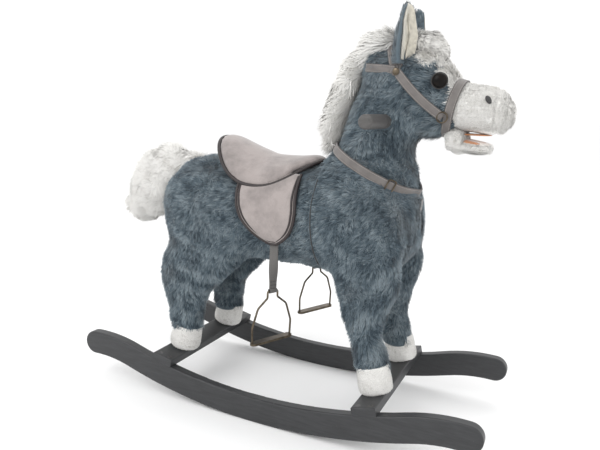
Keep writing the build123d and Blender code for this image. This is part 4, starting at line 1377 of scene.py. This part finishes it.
def blaze(points):
    """White share of the head's pile: one along the forehead and the nose, none on the cheeks."""
    low, high = box("head")
    across = np.abs(points[:, 1])
    top = shapes()["head"]
    _, centre, _, tall = top.section(points[:, 0])
    share = np.clip((points[:, 2] - centre) / tall, -1, 1)
    start = low[0] + 0.42 * (high[0] - low[0])
    wide = 0.036 + 0.006 * ripple(points, 0.02, 77)
    inside = (share > 0.50) & (across < wide) & (points[:, 0] > start)
    front = (points[:, 0] > high[0] - 0.006) & (share > -0.3)
    return (inside | front).astype(float)


class RH_OT_head(bpy.types.Operator):
    """Covers the head, muzzle and jaw, and sets the ears, eyes, nostrils and mouth."""

    bl_idname = "rocking_horse.head"
    bl_label = "Head"

    def execute(self, context):
        every = shapes()
        head = every["head"].grid(44, 72, (0.006, 0.0))
        plush("head_cloth", head, "horse", "grey_plush", look("grey_plush"), ["head"], (-0.95, 0, -0.25), 41,
              white=blaze,
              long=0.0105, keep=lambda p: clear_of(p, "neck", "muzzle") & off_straps(p) & self.off_eyes(p))
        muzzle = every["muzzle"].grid(48, 72, (0.0, 0.008))
        low, high = box("muzzle")
        fold = low[0] + 0.79 * (high[0] - low[0])
        crease = np.exp(-(((muzzle[..., 0] - fold) / 0.0022) ** 2))
        muzzle -= outward(muzzle) * (0.0030 * crease)[..., None]
        cloth = dress(backing("muzzle_cloth", muzzle, 0.8, 0.75), "horse", "white_plush", look("white_pile"),
                      "muzzle")
        tufts = pile("muzzle_pile", muzzle, look("white_pile"), (-0.9, 0, -0.3), 42, long=0.0056, wide=0.0013,
                     area=1.5,
                     lift=0.45, swirl=0.5, clump=0.005, tone=0.3,
                     keep=lambda p: off_straps(p) & clear_of(p, "head")
                     & off_node(p, "jaw_lever", 0.005) & off_node(p, "mouth_lining", 0.004))
        dress(tufts, "horse", "white_plush", look("white_pile"))
        self.jaw()
        self.mouth()
        self.eyes()
        self.nostrils()
        for name, side in SIDES:
            self.ear(name, side)
        return {"FINISHED"}

    def off_eyes(self, points):
        """Whether points lie clear of both eyes."""
        low, high = box("eyes")
        spot = np.array([(low[0] + high[0]) / 2, (low[2] + high[2]) / 2])
        return np.hypot(points[:, 0] - spot[0], points[:, 2] - spot[1]) > 0.0125

    def jaw(self):
        """Lower jaw: a scoop with a felt bed, in short white pile, riding on the jaw."""
        shape = Stuffed(rows_in("jaw", JAW_ROWS), "x", 0.0010)
        grid = shape.grid(30, 56, (0.004, 0.004))
        cloth = dress(backing("jaw_cloth", grid, 0.8, 0.75), "jaw", "white_plush", look("white_pile"), "jaw")
        _, mid, _, tall = shape.section(np.clip(grid[..., 0], shape.rows[0, 0], shape.rows[-1, 0]))

        def under(points):
            _, centre, _, high = shape.section(points[:, 0])
            return points[:, 2] < centre + 0.55 * high

        tufts = pile("jaw_pile", grid, look("white_pile"), (-1.0, 0, -0.2), 43, long=0.0046, wide=0.0013,
                     area=1.3,
                     lift=0.4, swirl=0.5, clump=0.005, tone=0.3, keep=under)
        dress(tufts, "jaw", "white_plush", look("white_pile"))
        self.corner()
        bed = grid.copy()
        bed[..., 1] *= 0.86
        bed[..., 2] = mid + (bed[..., 2] - mid) * 0.50 + 0.46 * tall
        bed[..., 0] = bed[..., 0].mean() + (bed[..., 0] - bed[..., 0].mean()) * 0.93
        dress(turned_out(skin_mesh("jaw_lining", bed)), "jaw", "mouth_cloth", look("mouth_felt"))

    def corner(self):
        """Corner of the mouth: a white roll behind the opening that stretches between muzzle and jaw."""
        low, high = box("jaw")
        rows = [(low[0] - 0.012, 0, low[2] + 0.022, 0.026, 0.012),
                (low[0] - 0.005, 0, low[2] + 0.018, 0.036, 0.019),
                (low[0] + 0.004, 0, low[2] + 0.016, 0.039, 0.021),
                (low[0] + 0.012, 0, low[2] + 0.014, 0.038, 0.017)]
        grid = Stuffed(rows).grid(16, 56, (0.003, 0.005))
        cloth = backing("mouth_corner_cloth", grid, 0.8, 0.75)
        tufts = pile("mouth_corner_pile", grid, look("white_pile"), (-0.7, 0, -0.7), 44, long=0.0046,
                     wide=0.0013, area=1.3,
                     lift=0.4, swirl=0.5, clump=0.005, tone=0.3)
        for piece in (cloth, tufts):
            dress(piece, "horse", "white_plush", look("white_pile"))
            piece.parent = None
            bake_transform(piece)

    def mouth(self):
        """Felt lining under the muzzle."""
        low, high = box("mouth_lining")
        middle, half = (low + high) / 2, (high - low) / 2
        turn = np.linspace(0, 2 * math.pi, 48, endpoint=False)
        share = np.array([0.0001, 0.3, 0.6, 0.85, 0.97, 1.0, 0.97, 0.85, 0.6, 0.3, 0.0001])
        lift = np.array([-1, -1, -0.96, -0.8, -0.5, 0.0, 0.5, 0.8, 0.96, 1, 1])
        ring = np.stack([half[0] * 0.84 * np.cos(turn), half[1] * 1.02 * np.sin(turn), 0 * turn], -1)
        grid = middle + np.array([-0.0045, 0, 0.0008]) + share[:, None, None] * ring
        grid[..., 2] += (lift * half[2] * 0.42)[:, None]
        dress(turned_out(skin_mesh("palate_lining", grid)), "horse", "mouth_cloth", look("mouth_felt"),
              "mouth_lining")

    def eyes(self):
        """Domed eyes, each in a thin dark rim."""
        low, high = box("eyes")
        radius = (high[0] - low[0]) / 2
        for name, side in SIDES:
            edge = high[1] if side > 0 else low[1]
            centre = np.array([(low[0] + high[0]) / 2, edge - side * 0.0072, (low[2] + high[2]) / 2])
            out = unit(np.array([0.16, side * 1.0, 0.10]))
            across = unit(np.cross(UP, out))
            up = np.cross(out, across)
            ball = dome_piece(name + "_eye", centre, across, up, out, (radius * 1.1, radius * 1.1, 0.0072),
                              18, 40, 0.8)
            dress(ball, "horse", "eye_black", look("eye_black"), *(["eyes"] if side < 0 else []))
            turn = np.linspace(0, 2 * math.pi, 48, endpoint=False)
            path = centre + (radius * 1.12) * (np.cos(turn)[:, None] * across + np.sin(turn)[:, None] * up)
            dress(cord_round(name + "_eye_rim", path, 0.0010, 8, True, side=out), "horse", "eye_black",
                  look("dark_thread"))

    def nostrils(self):
        """Nostrils: slanted ovals of satin stitch lying on the muzzle."""
        low, high = box("muzzle")
        spot = np.array([low[0] + 0.655 * (high[0] - low[0]), 0, low[2] + 0.63 * (high[2] - low[2])])
        for name, side in SIDES:
            start = spot[None] + side * 0.09 * LEFT
            point, _ = landing(start, -side * LEFT, ("muzzle",), 0.0035, 0.1, 600)
            out = unit(np.array([0.25, side, 0.38]))
            across = unit(np.cross(UP, out))
            up = np.cross(out, across)
            lean = math.radians(28)
            a = math.cos(lean) * across + math.sin(lean) * up
            b = np.cross(out, a)
            patch = dome_piece(name + "_nostril", point[0], a, b, out, (0.0040, 0.0066, 0.0022), 10, 28, 0.5)
            dress(patch, "horse", "eye_black", look("dark_thread"))

    def ear(self, name, side):
        """Ear: a cupped leaf of plush with a cream lining and a folded seam, pile only on its back."""
        low, high = box(name + "_ear")
        tall = high[2] - low[2] - 0.002
        base = np.array([(low[0] + high[0]) / 2 - 0.002, side * (abs(low[1]) + abs(high[1])) / 2,
                         low[2] - 0.004])
        face = unit(np.array([0.93, side * 0.36, 0.0]))
        wide = np.cross(UP, face)
        k = np.linspace(0, 1, 34)
        half = 0.0225 * np.interp(k, [0, 0.18, 0.42, 0.68, 0.86, 0.95, 1.0],
                                  [0.66, 0.90, 1.0, 0.86, 0.60, 0.40, 0.10])
        half = smoothed(half[:, None], 3)[:, 0]
        turn = np.linspace(0, 2 * math.pi, 40, endpoint=False)
        across, through = np.sin(turn), np.cos(turn)
        spine = (base + tall * k[:, None] * UP + (0.006 * k**2)[:, None] * AHEAD
                 - side * (0.003 * k)[:, None] * LEFT)
        cup = 0.55 * (across**2)[None, :] * half[:, None]
        thick = np.interp(k, [0, 0.5, 0.7], [0.0105, 0.0095, 0.0048]) * np.minimum(1, half / 0.006)
        grid = (spine[:, None] + (half[:, None] * across)[..., None] * wide
                + (cup + thick[:, None] * through)[..., None] * face)
        cloth = dress(backing(name + "_ear_cloth", grid, 0.35, 0.45), "horse", "grey_plush",
                      look("grey_plush"),
                      name + "_ear")
        rear = np.concatenate([grid[:, 8:33], grid[:, 8:33][:, ::-1] - 0.0002 * face], 1)
        tufts = pile(name + "_ear_pile", rear, look("grey_plush"), (0, 0, 1.0), 50 + int(side), long=0.0062,
                     wide=0.0016,
                     area=4.5, lift=0.35, swirl=0.3, clump=0.006,
                     keep=lambda p: ((p - np.stack([np.interp(p[:, 2], spine[:, 2],
                                                              spine[:, j]) for j in range(3)], 1))
                                     @ face) < 0.0080)
        dress(tufts, "horse", "grey_plush", look("grey_plush"))
        puffed = 0.0022 * np.minimum(1, half[2:] / 0.006)
        sunk = 0.80 * cup[2:] + 0.78 * thick[2:, None] + puffed[:, None] * through
        inner = spine[2:, None] + (0.80 * half[2:, None] * across)[..., None] * wide + sunk[..., None] * face
        dress(turned_out(skin_mesh(name + "_ear_lining", inner)), "horse", "lining_cloth",
              look("cream_velour"),
              *(["ear_linings"] if side < 0 else []))
        fold = spine[4:-6] + (thick[4:-6] + 0.0022)[:, None] * face + (
            0.004 * np.sin(np.linspace(0, math.pi, len(k) - 10)))[:, None] * wide
        dress(cord_round(name + "_ear_fold", fold, 0.0013, 8), "horse", "lining_cloth", look("cream_velour"))


class RH_OT_hair(bpy.types.Operator):
    """Makes the mane, the forelock and the wagging tail in long white pile."""

    bl_idname = "rocking_horse.hair"
    bl_label = "Mane, forelock and tail"

    def long_pile(self, name, grid, body, node, flow, seed, **settings):
        """A stuffed core in white cloth and long tufts on it."""
        core = dress(backing(name + "_core", grid, 0.55, 0.5), body, "white_fur", look("white_pile"), node)
        hair = pile(name + "_hair", grid, look("white_pile"), flow, seed, **settings)
        dress(hair, body, "white_fur", look("white_pile"))
        return core

    def execute(self, context):
        path = [at("mane", fx, 0.5, fz) for fx, fz in
                ((0.95, 0.86), (0.74, 0.86), (0.54, 0.77), (0.37, 0.62), (0.24, 0.44), (0.16, 0.26),
                 (0.13, 0.08))]
        path = curve_through(path, 48)
        share = np.linspace(0, 1, 48)
        deep = 0.014 * np.interp(share, [0, 0.08, 0.5, 0.85, 1], [0.45, 0.9, 1.0, 0.85, 0.30])
        wide = 0.017 * np.interp(share, [0, 0.08, 0.5, 0.85, 1], [0.5, 0.95, 1.0, 0.85, 0.30])
        mane = tube_grid(path, wide, deep, LEFT, 40)
        run = unit(np.gradient(path, axis=0))

        def down(points, normals):
            near = np.abs(points[:, 2:3] - path[None, :, 2]).argmin(1)
            return run[near] + np.array([-0.35, 0,
                                         0.0]) + 0.45 * np.sign(points[:, 1:2]) * LEFT * (points[:, 2:3] > 0)

        self.long_pile("mane", mane, "horse", "mane", down, 71, long=0.030, wide=0.0019, area=1.7, lift=0.32,
                       swirl=0.3,
                       clump=0.013, gather=0.5, levels=4, tone=0.3, rough=0.2,
                       keep=lambda p: clear_of(p, "neck", "head", grow=-0.004) & off_straps(p))
        path = curve_through([at("forelock", fx, 0.5, fz) for fx,
                              fz in ((-0.10, 0.10), (0.35, 0.30), (0.68, 0.16),
                                                                         (1.02, -0.35))], 26)
        share = np.linspace(0, 1, 26)
        size = np.sqrt(np.clip(1 - (2 * share - 1) ** 2, 0.03, 1))
        self.long_pile("forelock", tube_grid(path, 0.026 * size, 0.015 * size, LEFT, 32), "horse", "forelock",
                       (1.0, 0, -0.5), 72, long=0.012, wide=0.0018, area=1.5, lift=0.45, swirl=0.4,
                       clump=0.010,
                       gather=0.5, levels=2, tone=0.3)
        tail = Stuffed(rows_in("tail", TAIL_ROWS), "x", 0.009)
        grid = tail.grid(40, 56, (0.010, 0.004))
        grid += outward(grid) * (0.004 * ripple(grid, 0.05, 9))[..., None]
        core = self.long_pile("tail", grid, "tail", "tail", lambda p, n: np.stack(
            [np.full(len(p), -0.75), 0.3 * ripple(p, 0.05, 90), np.full(len(p), -0.55)], -1), 73, long=0.020,
            wide=0.0019, area=1.6, lift=0.32, swirl=0.4, clump=0.014, gather=0.5, levels=3, tone=0.35)
        return {"FINISHED"}


class RH_OT_stirrups(bpy.types.Operator):
    """Hangs the stirrup straps: webbing that runs straight down, twists, and loops round the iron."""

    bl_idname = "rocking_horse.stirrups"
    bl_label = "Stirrup straps"

    def execute(self, context):
        for name, _ in SIDES:
            node = name + "_stirrup_strap"
            pivot = np.array(JOINTS[name + "_strap_swing"]["pos_m"])
            bar = np.array(JOINTS[name + "_stirrup_swing"]["pos_m"])
            axis = np.array(JOINTS[name + "_stirrup_swing"]["axis"], float)
            start = pivot + np.array([0, 0, 0.022])
            low = bar + np.array([0, 0, 0.0048])
            k = np.linspace(0, 1, 60)
            path = start + (low - start) * k[:, None]
            share = np.clip((k - 0.35) / 0.6, 0, 1)
            angle = (share * share * (3 - 2 * share))[:, None] * math.atan2(axis[1], axis[0])
            across = np.concatenate([np.cos(angle), np.sin(angle), 0 * angle], 1)
            width, thick = sizes().webbing_width, sizes().strap_thickness * 0.9
            long_part = strap(node + "_web", path, across, width, thick)
            dress(long_part, "horse", "stirrup_webbing", look("stirrup_webbing"), node)
            long_part.parent = None
            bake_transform(long_part)
            turn = np.linspace(0, 2 * math.pi, 40, endpoint=False)
            out = np.cross(axis, UP)
            ring = bar + 0.0034 * (np.cos(turn)[:, None] * out + np.sin(turn)[:, None] * UP)
            loop = strap(node + "_loop", ring, axis, width * 0.98, thick * 0.8, closed=True)
            dress(loop, node, "stirrup_webbing", look("stirrup_webbing"))
            rows = []
            for z in (0.010, 0.016):
                line = bar + z * UP + np.linspace(-0.44, 0.44, 12)[:, None] * width * axis
                rows.append(cord_round(node + "_stitch", line + out * (thick / 2 + 0.0002), 0.0005, 6))
            dress(joined(node + "_stitches", rows), node, "stirrup_webbing", look("dark_thread"))
        return {"FINISHED"}


class RH_PT_panel(bpy.types.Panel):
    """Lists the steps and the settings in the 3D view's sidebar."""

    bl_idname = "RH_PT_panel"
    bl_label = "Rocking Horse"
    bl_space_type = "VIEW_3D"
    bl_region_type = "UI"
    bl_category = "Rocking Horse"

    def draw(self, context):
        for step in STEPS:
            self.layout.operator(step.bl_idname)
        for group in (context.scene.rocking_horse_sizes, context.scene.rocking_horse_colours):
            for key in group.__annotations__:
                self.layout.prop(group, key)


STEPS = (RH_OT_stage, RH_OT_hard_parts, RH_OT_straps, RH_OT_saddle, RH_OT_body, RH_OT_head, RH_OT_hair,
         RH_OT_stirrups)
CLASSES = (RH_Colours, RH_Sizes, *STEPS, RH_PT_panel)


def register():
    """Registers the settings, the steps and the panel."""
    for cls in CLASSES:
        bpy.utils.register_class(cls)
    bpy.types.Scene.rocking_horse_colours = PointerProperty(type=RH_Colours)
    bpy.types.Scene.rocking_horse_sizes = PointerProperty(type=RH_Sizes)


def unregister():
    """Takes them away again."""
    del bpy.types.Scene.rocking_horse_sizes
    del bpy.types.Scene.rocking_horse_colours
    for cls in reversed(CLASSES):
        bpy.utils.unregister_class(cls)


def main():
    """Runs every step in order."""
    register()
    for step in STEPS:
        group, name = step.bl_idname.split(".")
        if "FINISHED" not in getattr(getattr(bpy.ops, group), name)():
            raise RuntimeError(step.bl_label + " didn't finish")


if __name__ == "__main__":
    main()
